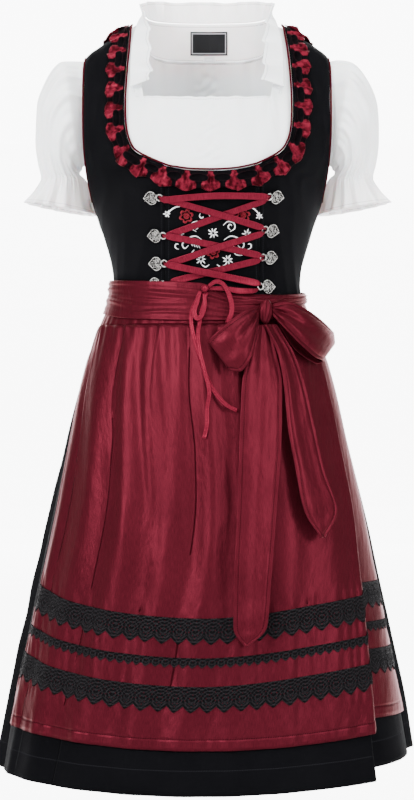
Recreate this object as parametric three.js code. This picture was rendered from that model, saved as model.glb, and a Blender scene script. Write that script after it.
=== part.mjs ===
// Dirndl set: laced bodice with a skirt, a satin apron with its sash and bow, and a short blouse.
// Millimetres, +Z up, the front faces -Y and the picture's right is +X.
// Z = 0 is at the shoulders, where the neck edge of the dress lies.
import * as THREE from "three";

// Driving sizes.
const CLOTH = 1.6;
const LINED = 1.8;
const SATIN = 1.2;
const COTTON = 1.2;
const SEAM_GAP = 0.3;
const EYE_FAR = 3600;
const EYE_HEIGHT = -489;
const WAIST_Z = -359;
const APRON_TOP = -394.5;
const BLOUSE_UNDER = -6;
const APRON_OVER = 2;
const LACE_OVER = 0.7;
const LACE_THICK = 1;

const BLACK = { color: "#141418", roughness: 0.85 };
const WINE = { color: "#8c1f38", roughness: 0.35 };
const RIBBON = { color: "#a8243f", roughness: 0.45 };
const PIPE = { color: "#6d1a2b", roughness: 0.6 };
const WHITE = { color: "#f2f0f2", roughness: 0.9 };
const SILVER = { color: "#b9b6ae", roughness: 0.35, metalness: 0.9 };
const LACE = { color: "#17161a", roughness: 0.95 };

// The general figure under the clothes: half widths and depths at each height.
const BODY = [
  { z: -990, half: 268, front: 178, back: 187 },
  { z: -866, half: 247, front: 167, back: 175 },
  { z: -710, half: 215.5, front: 153, back: 160 },
  { z: -554, half: 181.5, front: 137, back: 142 },
  { z: -450, half: 156.5, front: 124, back: 128 },
  { z: -398, half: 139, front: 113, back: 112 },
  { z: -359, half: 124, front: 102, back: 94 },
  { z: -339, half: 121.5, front: 99, back: 88 },
  { z: -294, half: 130, front: 109, back: 91 },
  { z: -260, half: 141, front: 121, back: 97 },
  { z: -229, half: 151, front: 133, back: 101 },
  { z: -200, half: 157.5, front: 138, back: 103 },
  { z: -165, half: 167, front: 132, back: 102 },
  { z: -140, half: 173, front: 122, back: 101 },
  { z: -100, half: 175, front: 100, back: 95 },
  { z: -80, half: 172, front: 88, back: 90 },
  { z: -60, half: 166, front: 76, back: 84 },
  { z: -43, half: 157, front: 66, back: 76 },
  { z: -20, half: 125, front: 52, back: 62 },
  { z: -2, half: 100, front: 38, back: 48 },
  { z: 14, half: 70, front: 18, back: 30 },
];
const BUST = { x: 70, z: -196, wide: 46, tall: 44, out: 9 };

// Half width of the neck opening and its height, as seen from the front.
const NECK_MID = 2;
const NECK = [
  { s: 0, half: 101, z: -2 },
  { s: 1, half: 103, z: -16 },
  { s: 2, half: 106, z: -40 },
  { s: 3, half: 109, z: -72 },
  { s: 4, half: 110.5, z: -105 },
  { s: 5, half: 109.5, z: -132 },
  { s: 6, half: 104, z: -154 },
  { s: 7, half: 93, z: -168 },
  { s: 8, half: 74, z: -179 },
  { s: 9, half: 50, z: -186 },
  { s: 10, half: 25, z: -190 },
  { s: 11, half: 0, z: -191 },
];
// Outer edge of the front: shoulder, armhole, then the side seam.
const ARMHOLE = [
  { s: 0, half: 157, z: -43 },
  { s: 1, half: 158.5, z: -56 },
  { s: 2, half: 158.8, z: -78 },
  { s: 3, half: 158.8, z: -104 },
  { s: 4, half: 158.8, z: -134 },
  { s: 5, half: 158.5, z: -158 },
  { s: 6, half: 157.4, z: -180 },
  { s: 7, half: 155, z: -204 },
  { s: 8, half: 150.9, z: -224 },
];
const ARMHOLE_FOOT = -236;
const PRINCESS = { left: -55, right: 69 };

const rad = THREE.MathUtils.degToRad;
const mix = THREE.MathUtils.lerp;
const steps = (n) => Array.from({ length: n + 1 }, (_, i) => i / n);

// Smooth value of one column of a table, whose rows rise along another column.
function read(table, along, name, at) {
  const last = table.length - 1;
  const x = THREE.MathUtils.clamp(at, table[0][along], table[last][along]);
  let i = 0;
  while (i < last - 1 && x > table[i + 1][along]) i += 1;
  const slope = (k) => {
    if (k < 0 || k >= last) return null;
    return (table[k + 1][name] - table[k][name]) / (table[k + 1][along] - table[k][along]);
  };
  const tangent = (k) => {
    const a = slope(k - 1);
    const b = slope(k);
    if (a === null) return b;
    if (b === null) return a;
    return a * b <= 0 ? 0 : (2 * a * b) / (a + b);
  };
  const h = table[i + 1][along] - table[i][along];
  const t = (x - table[i][along]) / h;
  const p = table[i][name];
  const q = table[i + 1][name];
  return (
    p * (2 * t ** 3 - 3 * t ** 2 + 1) +
    h * tangent(i) * (t ** 3 - 2 * t ** 2 + t) +
    q * (3 * t ** 2 - 2 * t ** 3) +
    h * tangent(i + 1) * (t ** 3 - t ** 2)
  );
}

// A point of the figure. turn is in degrees from the front middle, + to the picture's right.
function base(turn, z) {
  const angle = rad(turn);
  const half = read(BODY, "z", "half", z);
  const cosine = Math.cos(angle);
  const depth = read(BODY, "z", cosine >= 0 ? "front" : "back", z);
  const x = half * Math.sin(angle);
  const away = ((Math.abs(x) - BUST.x) / BUST.wide) ** 2 + ((z - BUST.z) / BUST.tall) ** 2;
  const bust = cosine > 0 ? BUST.out * Math.exp(-away) * cosine : 0;
  return new THREE.Vector3(x, -depth * cosine - bust, z);
}

// The same point moved out from the figure, square to it.
function skin(turn, z, out = 0) {
  const across = base(turn + 0.5, z).sub(base(turn - 0.5, z));
  const up = base(turn, z + 1).sub(base(turn, z - 1));
  const square = across.cross(up).normalize();
  return base(turn, z).addScaledVector(square, out);
}

// The place on the front where the camera sees x and z, as turn and z.
function seen(x, z, out = 0) {
  let turn = 0;
  let height = z;
  for (let pass = 0; pass < 8; pass += 1) {
    const point = skin(turn, height, out);
    const scale = (EYE_FAR + point.y) / EYE_FAR;
    height += EYE_HEIGHT + (z - EYE_HEIGHT) * scale - point.z;
    const half = read(BODY, "z", "half", height) + out;
    turn = THREE.MathUtils.radToDeg(Math.asin(THREE.MathUtils.clamp((x * scale) / half, -1, 1)));
  }
  return { turn, z: height };
}

const group = new THREE.Group();
group.name = "dirndl";

function addMesh(name, look, points, faces) {
  const geometry = new THREE.BufferGeometry();
  geometry.setAttribute("position", new THREE.Float32BufferAttribute(points.flatMap((p) => [p.x, p.y, p.z]), 3));
  let volume = 0;
  for (const [a, b, c] of faces) {
    volume += points[a].dot(points[b].clone().cross(points[c]));
  }
  const outward = volume > 0 ? faces : faces.map(([a, b, c]) => [a, c, b]);
  geometry.setIndex(outward.flat());
  geometry.computeVertexNormals();
  const mesh = new THREE.Mesh(geometry, new THREE.MeshStandardMaterial(look));
  mesh.name = name;
  group.add(mesh);
  return mesh;
}

// A closed wall between two grids of points, [row][column]. loop joins the last column to the first.
function wall(name, look, front, back, loop = false) {
  const rows = front.length;
  const columns = front[0].length;
  const points = [...front.flat(), ...back.flat()];
  const at = (side, r, c) => side * rows * columns + r * columns + (c % columns);
  const faces = [];
  const quad = (a, b, c, d) => faces.push([a, b, c], [a, c, d]);
  const spans = loop ? columns : columns - 1;
  for (let r = 0; r < rows - 1; r += 1) {
    for (let c = 0; c < spans; c += 1) {
      quad(at(0, r, c), at(0, r, c + 1), at(0, r + 1, c + 1), at(0, r + 1, c));
      quad(at(1, r, c), at(1, r + 1, c), at(1, r + 1, c + 1), at(1, r, c + 1));
    }
    if (!loop) {
      quad(at(0, r, 0), at(0, r + 1, 0), at(1, r + 1, 0), at(1, r, 0));
      quad(at(0, r, spans), at(1, r, spans), at(1, r + 1, spans), at(0, r + 1, spans));
    }
  }
  for (let c = 0; c < spans; c += 1) {
    quad(at(0, 0, c), at(1, 0, c), at(1, 0, c + 1), at(0, 0, c + 1));
    const r = rows - 1;
    quad(at(0, r, c), at(0, r, c + 1), at(1, r, c + 1), at(1, r, c));
  }
  return addMesh(name, look, points, faces);
}

// A wall on the figure: place(row, column) gives turn, z and out for its inner face.
function panel(name, look, rows, columns, thick, place, loop = false) {
  const side = (more) =>
    rows.map((r) =>
      columns.map((c) => {
        const spot = place(r, c);
        return skin(spot.turn, spot.z, (spot.out ?? 0) + more);
      }),
    );
  return wall(name, look, side(thick), side(0), loop);
}

// A wall around a free grid of points, half of it on each side.
function thicken(name, look, grid, thick, loop = false) {
  const rows = grid.length;
  const columns = grid[0].length;
  const around = (c) => (loop ? (c + columns) % columns : THREE.MathUtils.clamp(c, 0, columns - 1));
  const within = (r) => THREE.MathUtils.clamp(r, 0, rows - 1);
  const square = (r, c) => {
    const sum = new THREE.Vector3();
    for (const [dr, dc] of [[1, 1], [1, -1], [-1, 1], [-1, -1]]) {
      const down = grid[within(r + dr)][c].clone().sub(grid[r][c]);
      const side = grid[r][around(c + dc)].clone().sub(grid[r][c]);
      sum.add(down.cross(side).multiplyScalar(dr * dc).normalize());
    }
    return sum.normalize();
  };
  const shift = (amount) =>
    grid.map((line, r) => line.map((p, c) => p.clone().addScaledVector(square(r, c), amount)));
  return wall(name, look, shift(thick / 2), shift(-thick / 2), loop);
}

// A cord along points, with sides around it. loop joins its ends.
function cord(name, look, line, radius, sides, squares, loop = false) {
  const rings = line.map((p, i) => {
    const before = line[loop ? (i - 1 + line.length) % line.length : Math.max(i - 1, 0)];
    const after = line[loop ? (i + 1) % line.length : Math.min(i + 1, line.length - 1)];
    const along = after.clone().sub(before).normalize();
    const u = squares[i].clone().addScaledVector(along, -squares[i].dot(along)).normalize();
    const v = along.clone().cross(u);
    return Array.from({ length: sides }, (_, k) => {
      const angle = (2 * Math.PI * k) / sides;
      return p.clone().addScaledVector(u, radius * Math.cos(angle)).addScaledVector(v, radius * Math.sin(angle));
    });
  });
  const points = rings.flat();
  const faces = [];
  const spans = loop ? rings.length : rings.length - 1;
  for (let i = 0; i < spans; i += 1) {
    const j = (i + 1) % rings.length;
    for (let k = 0; k < sides; k += 1) {
      const m = (k + 1) % sides;
      faces.push([i * sides + k, j * sides + k, j * sides + m], [i * sides + k, j * sides + m, i * sides + m]);
    }
  }
  if (!loop) {
    for (let k = 1; k < sides - 1; k += 1) {
      const end = (rings.length - 1) * sides;
      faces.push([0, k, k + 1], [end, end + k + 1, end + k]);
    }
  }
  return addMesh(name, look, points, faces);
}

// Bodice. Its outer face is the figure's surface and its wall lies inside.
const neckSpot = (s, sign) => {
  const middle = NECK_MID * Math.min(1, s / 2);
  return seen(middle + sign * read(NECK, "s", "half", s), read(NECK, "s", "z", s));
};
const armSpot = (s, sign) => {
  const half = read(ARMHOLE, "s", "half", s);
  const z = read(ARMHOLE, "s", "z", s);
  const reach = read(BODY, "z", "half", z);
  return { turn: sign * THREE.MathUtils.radToDeg(Math.asin(Math.min(half / reach, 1))), z };
};

// The princess seam from the neck edge to the waist, at the heights that both of its panels use.
const SEAM_ROWS = [0, 0.12, 0.3, 0.47, 0.66, 0.86, 1];
function princess(sign, down) {
  const seamX = sign > 0 ? PRINCESS.right : PRINCESS.left;
  const top = neckSpot(sign > 0 ? 8.23 : 8.71, sign);
  const z = mix(top.z, WAIST_Z, down);
  return { turn: down === 0 ? top.turn : seen(seamX, z + (z - EYE_HEIGHT) * 0.03).turn, z };
}
// Side front of the bodice: a row runs from the neck edge, or princess seam, to the armhole, or side seam.
const NECK_ROWS = [0, 0.3, 0.8, 1.5, 2.5, 3.7, 5, 6, 7];
const SIDE_SEAM_ROWS = [-236, -252, -272, -296, -318, -341, WAIST_Z];
function sideRows(sign) {
  const above = NECK_ROWS.map((s, i) => [
    i === 0 ? { turn: sign * 90, z: -2 } : neckSpot(s, sign),
    i === 0 ? { turn: sign * 90, z: -43 } : armSpot(i, sign),
  ]);
  const below = SEAM_ROWS.map((down, i) => [princess(sign, down), { turn: sign * 90, z: SIDE_SEAM_ROWS[i] }]);
  return [...above, ...below];
}
const SEAM_TRIM = 0.2;
for (const [name, sign] of [["bodice_front_left", -1], ["bodice_front_right", 1]]) {
  const rows = sideRows(sign);
  panel(name, BLACK, steps(rows.length - 1), steps(6), LINED, (down, t) => {
    const r = Math.round(down * (rows.length - 1));
    const [inner, outer] = rows[r];
    const turn = mix(inner.turn + sign * SEAM_TRIM, outer.turn - sign * SEAM_TRIM, t);
    const spot = { turn, z: mix(inner.z, outer.z, t), out: -LINED };
    if (r === 0) spot.turn -= sign * 0.6;
    return spot;
  });
}
const CENTRE_ACROSS = steps(8);
function centreTop(t) {
  const x = mix(PRINCESS.left, PRINCESS.right, t);
  let s = 11;
  while (read(NECK, "s", "half", s) < Math.abs(x - NECK_MID) && s > 8) s -= 0.02;
  const ends = [princess(-1, 0), princess(1, 0)];
  const atSeam = t === 0 || t === 1;
  return {
    turn: mix(ends[0].turn + SEAM_TRIM, ends[1].turn - SEAM_TRIM, t),
    z: atSeam ? ends[t].z : neckSpot(s, Math.sign(x - NECK_MID)).z,
  };
}
panel("bodice_front_centre", BLACK, SEAM_ROWS, CENTRE_ACROSS, LINED, (down, t) => ({
  turn: mix(princess(-1, down).turn + SEAM_TRIM, princess(1, down).turn - SEAM_TRIM, t),
  z: mix(centreTop(t).z, WAIST_Z, down),
  out: -LINED,
}));

// Back of the bodice: shoulder line and neck edge above, waist below, armholes at both ends.
const BACK_NECK = [
  { t: 0, turn: 180, z: -62 },
  { t: 0.2, turn: 158, z: -60 },
  { t: 0.36, turn: 134, z: -46 },
  { t: 0.47, turn: 115, z: -24 },
  { t: 0.56, turn: 91, z: -2 },
  { t: 1, turn: 91, z: -43 },
];
const BACK_ARM = [
  { t: 0, half: 157, z: -43 },
  { t: 0.12, half: 158.5, z: -62 },
  { t: 0.3, half: 158.8, z: -110 },
  { t: 0.45, half: 158.8, z: -150 },
  { t: 0.58, half: 157.5, z: -184 },
  { t: 0.7, half: 151.5, z: -216 },
];
function backSpot(down, across) {
  const side = Math.abs(across);
  const shoulder = { turn: read(BACK_NECK, "t", "turn", side), z: read(BACK_NECK, "t", "z", side) };
  let edge = { turn: 90.2, z: mix(ARMHOLE_FOOT, WAIST_Z, (down - 0.76) / 0.24) };
  if (down < 0.76) {
    const z = read(BACK_ARM, "t", "z", down);
    const reach = read(BODY, "z", "half", z);
    edge = { turn: 180 - THREE.MathUtils.radToDeg(Math.asin(Math.min(1, read(BACK_ARM, "t", "half", down) / reach))), z };
  }
  if (down === 0) edge = { turn: 91, z: -43 };
  const middle = { turn: 180, z: mix(-62, WAIST_Z, down) };
  const flat = { turn: mix(180, edge.turn, side), z: mix(middle.z, edge.z, side) };
  const first = { turn: mix(180, 91, side), z: mix(-62, -43, side) };
  const fade = Math.max(0, 1 - down / 0.62) ** 1.5;
  const turn = flat.turn + (shoulder.turn - first.turn) * fade;
  return { turn: across < 0 ? 360 - turn : turn, z: flat.z + (shoulder.z - first.z) * fade };
}
const BACK_HALF = [0.1, 0.2, 0.28, 0.36, 0.42, 0.47, 0.515, 0.56, 0.7, 0.85, 1];
const BACK_ACROSS = [...BACK_HALF.map((t) => -t).reverse(), 0, ...BACK_HALF];
const BACK_DOWN = [0, 0.07, 0.16, 0.28, 0.42, 0.58, 0.7, 0.76, 0.86, 0.935, 1];
panel("bodice_back", BLACK, BACK_DOWN, BACK_ACROSS, LINED, (down, across) => ({
  ...backSpot(down, across),
  out: -LINED,
}));

// Edges that the piping and the ruche follow, as places on the figure all the way round.
function neckRound() {
  const back = BACK_HALF.filter((t) => t < 0.56).map((t) => ({
    turn: read(BACK_NECK, "t", "turn", t),
    z: read(BACK_NECK, "t", "z", t),
  }));
  const left = NECK_ROWS.slice(1).map((s) => neckSpot(s, -1));
  return [
    { turn: 90, z: -2 },
    ...NECK_ROWS.slice(1).map((s) => neckSpot(s, 1)),
    ...[...CENTRE_ACROSS].reverse().map((t) => centreTop(t)),
    ...left.reverse(),
    { turn: -90, z: -2 },
    ...[...back].reverse().map((spot) => ({ turn: -spot.turn, z: spot.z })),
    { turn: 180, z: -62 },
    ...back,
  ];
}
function armRound(sign) {
  const front = steps(8).slice(1).map((t) => armSpot(8 * t, sign));
  const back = BACK_DOWN.filter((down) => down > 0 && down < 0.76).reverse().map((down) => {
    const spot = backSpot(down, 1);
    return { turn: sign * spot.turn, z: spot.z };
  });
  return [{ turn: sign * 90, z: -43 }, ...front, { turn: sign * 90, z: ARMHOLE_FOOT + 2 }, ...back];
}

// Points beside an edge: over = how far from the edge along the cloth, + away from the opening.
function beside(spots, over, out, centre) {
  const line = spots.map((s) => skin(s.turn, s.z));
  return line.map((p, i) => {
    const before = line[(i - 1 + line.length) % line.length];
    const after = line[(i + 1) % line.length];
    const along = after.clone().sub(before).normalize();
    const square = skin(spots[i].turn, spots[i].z, 1).sub(p).normalize();
    const away = square.clone().cross(along).normalize();
    if (away.dot(p.clone().sub(centre(p))) < 0) away.negate();
    return { point: p.clone().addScaledVector(square, out).addScaledVector(away, over), square };
  });
}
// Evenly spaced points along a closed line of edge places.
function evenly(spots, count, phase = 0) {
  const line = spots.map((s) => skin(s.turn, s.z));
  const lengths = line.map((p, i) => p.distanceTo(line[(i + 1) % line.length]));
  const total = lengths.reduce((a, b) => a + b, 0);
  return Array.from({ length: count }, (_, k) => {
    let rest = ((k + phase) / count) * total;
    let i = 0;
    while (rest > lengths[i]) {
      rest -= lengths[i];
      i += 1;
    }
    const a = spots[i];
    const b = spots[(i + 1) % spots.length];
    const t = rest / lengths[i];
    let turn = b.turn;
    if (turn - a.turn > 180) turn -= 360;
    if (a.turn - turn > 180) turn += 360;
    return { turn: mix(a.turn, turn, t), z: mix(a.z, b.z, t) };
  });
}
const neckCentre = () => new THREE.Vector3(NECK_MID, 0, -60);
const PIPE_RADIUS = 1.3;
const PIPE_OFF = 0.9;
const neckEdge = beside(neckRound(), -(PIPE_OFF + PIPE_RADIUS), -0.9, neckCentre);
cord("neck_piping", PIPE, neckEdge.map((e) => e.point), PIPE_RADIUS, 4, neckEdge.map((e) => e.square), true);
for (const [name, sign] of [["armhole_piping_left", -1], ["armhole_piping_right", 1]]) {
  const centre = () => new THREE.Vector3(sign * 158, 0, -125);
  const edge = beside(armRound(sign), -(PIPE_OFF + PIPE_RADIUS), -0.9, centre);
  cord(name, PIPE, edge.map((e) => e.point), PIPE_RADIUS, 4, edge.map((e) => e.square), true);
}

// Ruche: a pleated ribbon around the neck, one red and black diamond for each pleat.
const RUCHE = { pleats: 36, start: 2.2, wide: 22, thick: 1.4, high: 3 };
{
  const count = RUCHE.pleats * 2;
  const spots = evenly(neckRound(), count);
  const ring = (over, lift) => {
    const near = beside(spots, over(0), 0, neckCentre);
    const far = beside(spots, over(1), 0, neckCentre);
    return near.map((e, i) => {
      const pick = i % 2 ? far[i] : e;
      return pick.point.clone().addScaledVector(pick.square, lift(i % 2));
    });
  };
  const levels = [
    { over: (k) => RUCHE.start + k, lift: () => 0.5 },
    { over: () => RUCHE.wide * 0.5, lift: (k) => (k ? 1 : RUCHE.high) },
    { over: (k) => RUCHE.wide + 2 * k, lift: (k) => (k ? 1.6 : 0.6) },
  ];
  const lower = levels.map((level) => ring(level.over, level.lift));
  const upper = levels.map((level) => ring(level.over, (k) => level.lift(k) + RUCHE.thick));
  wall("neck_ruche", { ...RIBBON }, upper, lower, true);
}

// Skirt and apron hang from the waist with soft folds and one large fold at the right.
const FOLD_TURN = [
  { z: -990, turn: 51.8 },
  { z: -900, turn: 52.2 },
  { z: -800, turn: 54.6 },
  { z: -700, turn: 58.6 },
  { z: -600, turn: 63.4 },
  { z: -359, turn: 65 },
];
const FOLD = { first: 2.5, last: 11, reach: 26, back: 8 };
// Folds of the front, from left to right: share = place between the left edge and the large fold.
const FOLDS = [
  { share: 0, top: 0, low: 1 },
  { share: 0.09, top: 2.4, low: 4 },
  { share: 0.25, top: 2.8, low: 6 },
  { share: 0.39, top: 2.8, low: 7 },
  { share: 0.5, top: 2.4, low: 6 },
  { share: 0.6, top: 2.2, low: 7 },
  { share: 0.71, top: 2.4, low: 5 },
  { share: 0.82, top: 2.4, low: 4 },
  { share: 0.98, top: 1.4, low: 2 },
];
function frontWave(share, down) {
  let i = 0;
  while (i < FOLDS.length - 2 && share >= FOLDS[i + 1].share) i += 1;
  const a = FOLDS[i];
  const b = FOLDS[i + 1];
  const t = THREE.MathUtils.clamp((share - a.share) / (b.share - a.share), 0, 1);
  const crisp = a.top * (1 - t) * Math.max(0, 1 - down / 0.35);
  const soft = mix(a.low, b.low, t) * Math.sin(Math.PI * t) ** 2 * Math.sin((Math.PI / 2) * Math.min(1, down * 1.3));
  return crisp + soft;
}
// One place of the draped front. edge and far are the side edges' turns, middle is how far out the
// middle of the wall lies, and share is how much of the folds the layer takes.
function drape(column, z, down, edge, far, middle, share = 1) {
  const fold = read(FOLD_TURN, "z", "turn", z);
  const degrees = 180 / (Math.PI * read(BODY, "z", "half", z));
  const high = mix(FOLD.first, FOLD.last, down) * share;
  const crest = 1.6 * middle;
  const root = mix(crest + 3, 3 * middle - FOLD.back, Math.min(1, high / 8));
  if (column <= 1) {
    const turn = mix(edge, fold, column) + column * crest * degrees;
    const rise = Math.max(0, 1 - ((1 - column) * (fold - edge)) / FOLD.reach);
    return { turn, z, out: middle + frontWave(column, down) * share + high * rise ** 1.6 };
  }
  if (column <= 2) return { turn: fold + root * degrees, z, out: middle + 0.8 * Math.min(1, high / 8) };
  return { turn: mix(fold + (root + 14) * degrees, far, (column - 2.5) / 1.5), z, out: middle };
}
// A wall around the middle of a draped layer.
function draped(name, look, rows, columns, thick, place) {
  const grid = rows.map((down) =>
    columns.map((column) => {
      const spot = place(down, column);
      return skin(spot.turn, spot.z, spot.out);
    }),
  );
  return thicken(name, look, grid, thick);
}
const SHARES = [0, 0.045, 0.084, 0.096, 0.14, 0.19, 0.243, 0.257, 0.3, 0.345, 0.383, 0.397, 0.43, 0.465, 0.493, 0.507, 0.55,
  0.593, 0.607, 0.655, 0.703, 0.717, 0.765, 0.813, 0.827, 0.88, 0.94, 1];
const AFTER_FOLD = [2, 2.5, 3, 3.5, 4];
const frontHem = (turn) => -967 - 13 * Math.cos(rad(turn)) ** 2;
// Behind the large fold the hem lies higher, up to the side seam and a little past it.
const SIDE_LIFT = 25;
const sideLift = (column) => (column > 1.5 ? mix(14, SIDE_LIFT, (column - 2) / 2) : 0);
const SKIRT_DOWN = [0, 0.057, 0.17, 0.34, 0.504, 0.687, 0.822, 1];
// The skirt keeps the apron's columns below it, and has its own ones out to the side seam.
const SKIRT_COLUMNS = [-0.1, ...SHARES, ...AFTER_FOLD];
draped("skirt_front", BLACK, SKIRT_DOWN, SKIRT_COLUMNS, CLOTH, (down, column) => {
  const sideTurn = -90 + 0.1;
  const edge = apronLeft(down);
  let turn = column < 0 ? sideTurn : mix(edge, 60, Math.min(column, 1));
  const top = WAIST_Z - SEAM_GAP;
  const z = mix(top, frontHem(turn) + sideLift(column), down);
  if (column < 0) return { turn, z, out: -CLOTH / 2 };
  const share = 0.85 * THREE.MathUtils.clamp((APRON_TOP - z) / 60, 0, 1);
  return drape(column, z, (top - z) / (top - frontHem(turn)), edge, 89.9, -CLOTH / 2, share);
});
function apronLeft(down) {
  return read(
    [
      { v: 0, turn: -86 },
      { v: 0.15, turn: -84 },
      { v: 0.3, turn: -77 },
      { v: 0.5, turn: -74 },
      { v: 0.75, turn: -76 },
      { v: 1, turn: -81 },
    ],
    "v",
    "turn",
    down,
  );
}
const apronHem = (column, turn) => (column > 1.5 ? -892 : -906 - 18 * Math.cos(rad(turn)) ** 2);
// The apron's cross lines rise towards its side edges, most at the lace.
const RISE = [
  { turn: -86, up: 25 },
  { turn: -70, up: 18 },
  { turn: -55, up: 9 },
  { turn: -43, up: 4 },
  { turn: -20, up: -2 },
  { turn: 0, up: -4 },
  { turn: 15, up: -1 },
  { turn: 36, up: 6 },
  { turn: 60, up: 10 },
  { turn: 87, up: 14 },
];
const RISE_SHARE = [
  { v: 0, share: 0 },
  { v: 0.3, share: 0.35 },
  { v: 0.684, share: 1 },
  { v: 0.79, share: 0.77 },
  { v: 0.88, share: 0.7 },
  { v: 1, share: 0 },
];
function apronSpot(down, column, middle = APRON_OVER + SATIN / 2) {
  const edge = apronLeft(down);
  const turn = mix(edge, 58, Math.min(column, 1));
  const up = read(RISE, "turn", "up", column > 1.5 ? 80 : turn) * read(RISE_SHARE, "v", "share", down);
  const z = mix(APRON_TOP, apronHem(column, turn), down) + up;
  return drape(column, z, down, edge, 87, middle);
}
const LACE_ROWS = { upper: [0.684, 0.748], middle: [0.778, 0.8], lower: [0.845, 0.908] };
const APRON_DOWN = [0, 0.05, 0.13, 0.25, 0.38, 0.53, 0.684, 0.748, 0.845, 0.908, 1];
const APRON_COLUMNS = [...SHARES, ...AFTER_FOLD];
draped("apron_skirt", WINE, APRON_DOWN, APRON_COLUMNS, SATIN, (down, column) => apronSpot(down, column));

// Back of the skirt: deep soft gathers below the waist.
const BACK_FOLDS = 12;
panel("skirt_back", BLACK, SKIRT_DOWN, steps(BACK_FOLDS * 3), CLOTH, (down, t) => {
  const turn = mix(90.1, 269.9, t);
  const wave = Math.sin(Math.PI * BACK_FOLDS * t) ** 2 * mix(1.5, 13, down ** 0.8);
  const hem = -967 - 8 * Math.cos(rad(turn)) ** 2 + SIDE_LIFT * (1 - THREE.MathUtils.smoothstep(turn, 90, 150));
  return { turn, z: mix(WAIST_Z - SEAM_GAP, hem, down), out: wave - CLOTH };
});

// Lace bands follow the apron's own columns, with a scalloped lower edge.
function laceBand(name, top, low, points, bite) {
  const columns = [];
  for (let i = 0; i < APRON_COLUMNS.length - 1; i += 1) {
    const a = APRON_COLUMNS[i];
    const b = APRON_COLUMNS[i + 1];
    const parts = b - a > 0.03 && b <= 1 ? points : 1;
    for (let k = 0; k < parts; k += 1) columns.push([i, k / parts]);
  }
  columns.push([APRON_COLUMNS.length - 2, 1]);
  const middle = APRON_OVER + SATIN + LACE_OVER + LACE_THICK / 2;
  const grid = [top, low].map((down) =>
    columns.map(([i, t], k) => {
      const bitten = down === low && k % 2 ? down - bite : down;
      const put = (column) => {
        const spot = apronSpot(bitten, column, middle);
        return skin(spot.turn, spot.z, spot.out);
      };
      return put(APRON_COLUMNS[i]).lerp(put(APRON_COLUMNS[i + 1]), t);
    }),
  );
  thicken(name, LACE, grid, LACE_THICK);
}
laceBand("lace_upper", ...LACE_ROWS.upper, 2, 0.01);
laceBand("lace_middle", ...LACE_ROWS.middle, 3, 0.007);
laceBand("lace_lower", ...LACE_ROWS.lower, 2, 0.01);

// Waistband of the apron, and the sash around the waist over it.
panel("apron_waistband", WINE, [0, 0.25, 0.6, 1], steps(18), SATIN, (down, t) => ({
  turn: mix(-86, 87, t),
  z: mix(-355.5, APRON_TOP + SEAM_GAP + 0.2, down),
  out: 1.4,
}));
const SASH = [
  { turn: -180, top: -338, low: -384 },
  { turn: -90, top: -334, low: -379 },
  { turn: -45, top: -337, low: -387 },
  { turn: -5, top: -341, low: -390 },
  { turn: 15, top: -357, low: -390 },
  { turn: 36, top: -359, low: -388 },
  { turn: 50, top: -356, low: -370 },
  { turn: 90, top: -351, low: -364 },
  { turn: 130, top: -345, low: -374 },
  { turn: 180, top: -338, low: -384 },
];
const SASH_WAVE = [0.3, 2.4, 0.4, 2.8, 0.3];
panel(
  "sash",
  WINE,
  steps(4),
  steps(36).slice(0, -1),
  SATIN,
  (down, t) => {
    const turn = mix(-180, 180, t);
    const lift = SASH_WAVE[Math.round(down * 4)] * (0.7 + 0.3 * Math.sin(turn / 17 + down * 5));
    return { turn, z: mix(read(SASH, "turn", "top", turn), read(SASH, "turn", "low", turn), down), out: 4.3 + lift };
  },
  true,
);

// Places in front of the garment by what the camera sees, with a height over the figure.
function float(x, z, out) {
  const spot = seen(x, z, out);
  return skin(spot.turn, spot.z, out);
}

// Bow of the sash: knot, two loops and two tails.
const KNOT = { x: 78, z: -374, wide: 9, tall: 16, deep: 6, out: 14 };
{
  const centre = float(KNOT.x, KNOT.z, KNOT.out);
  const ball = new THREE.SphereGeometry(1, 12, 8);
  ball.scale(KNOT.wide, KNOT.deep, KNOT.tall);
  ball.rotateY(rad(6));
  ball.rotateZ(rad(36));
  const knot = new THREE.Mesh(ball, new THREE.MeshStandardMaterial(WINE));
  knot.name = "bow_knot";
  knot.position.copy(centre);
  group.add(knot);
}
// A loop goes out from the knot along its front layer and comes back behind, from upper to lower edge.
const LOOP_LEFT = [
  { s: 0, upX: 69, upZ: -366, lowX: 69, lowZ: -382, out: 16.2 },
  { s: 1, upX: 52, upZ: -372, lowX: 66, lowZ: -408, out: 25 },
  { s: 2, upX: 28, upZ: -388, lowX: 58, lowZ: -436, out: 29 },
  { s: 3, upX: 11, upZ: -402, lowX: 44, lowZ: -452, out: 24 },
  { s: 4, upX: 1, upZ: -412, lowX: 30, lowZ: -450, out: 17 },
  { s: 5, upX: 6, upZ: -406, lowX: 36, lowZ: -442, out: 12.5 },
  { s: 6, upX: 30, upZ: -390, lowX: 54, lowZ: -424, out: 11.5 },
  { s: 7, upX: 68.4, upZ: -368, lowX: 68.4, lowZ: -381, out: 12 },
];
const LOOP_RIGHT = [
  { s: 0, upX: 86.8, upZ: -364, lowX: 87.2, lowZ: -379, out: 15.5 },
  { s: 1, upX: 108, upZ: -361, lowX: 106, lowZ: -398, out: 27 },
  { s: 2, upX: 134, upZ: -372, lowX: 126, lowZ: -418, out: 30 },
  { s: 3, upX: 158, upZ: -392, lowX: 144, lowZ: -434, out: 26 },
  { s: 4, upX: 172, upZ: -409, lowX: 152, lowZ: -438, out: 19 },
  { s: 5, upX: 164, upZ: -405, lowX: 144, lowZ: -442, out: 12.5 },
  { s: 6, upX: 128, upZ: -388, lowX: 116, lowZ: -424, out: 11 },
  { s: 7, upX: 89, upZ: -366, lowX: 89, lowZ: -380, out: 12 },
];
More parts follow.
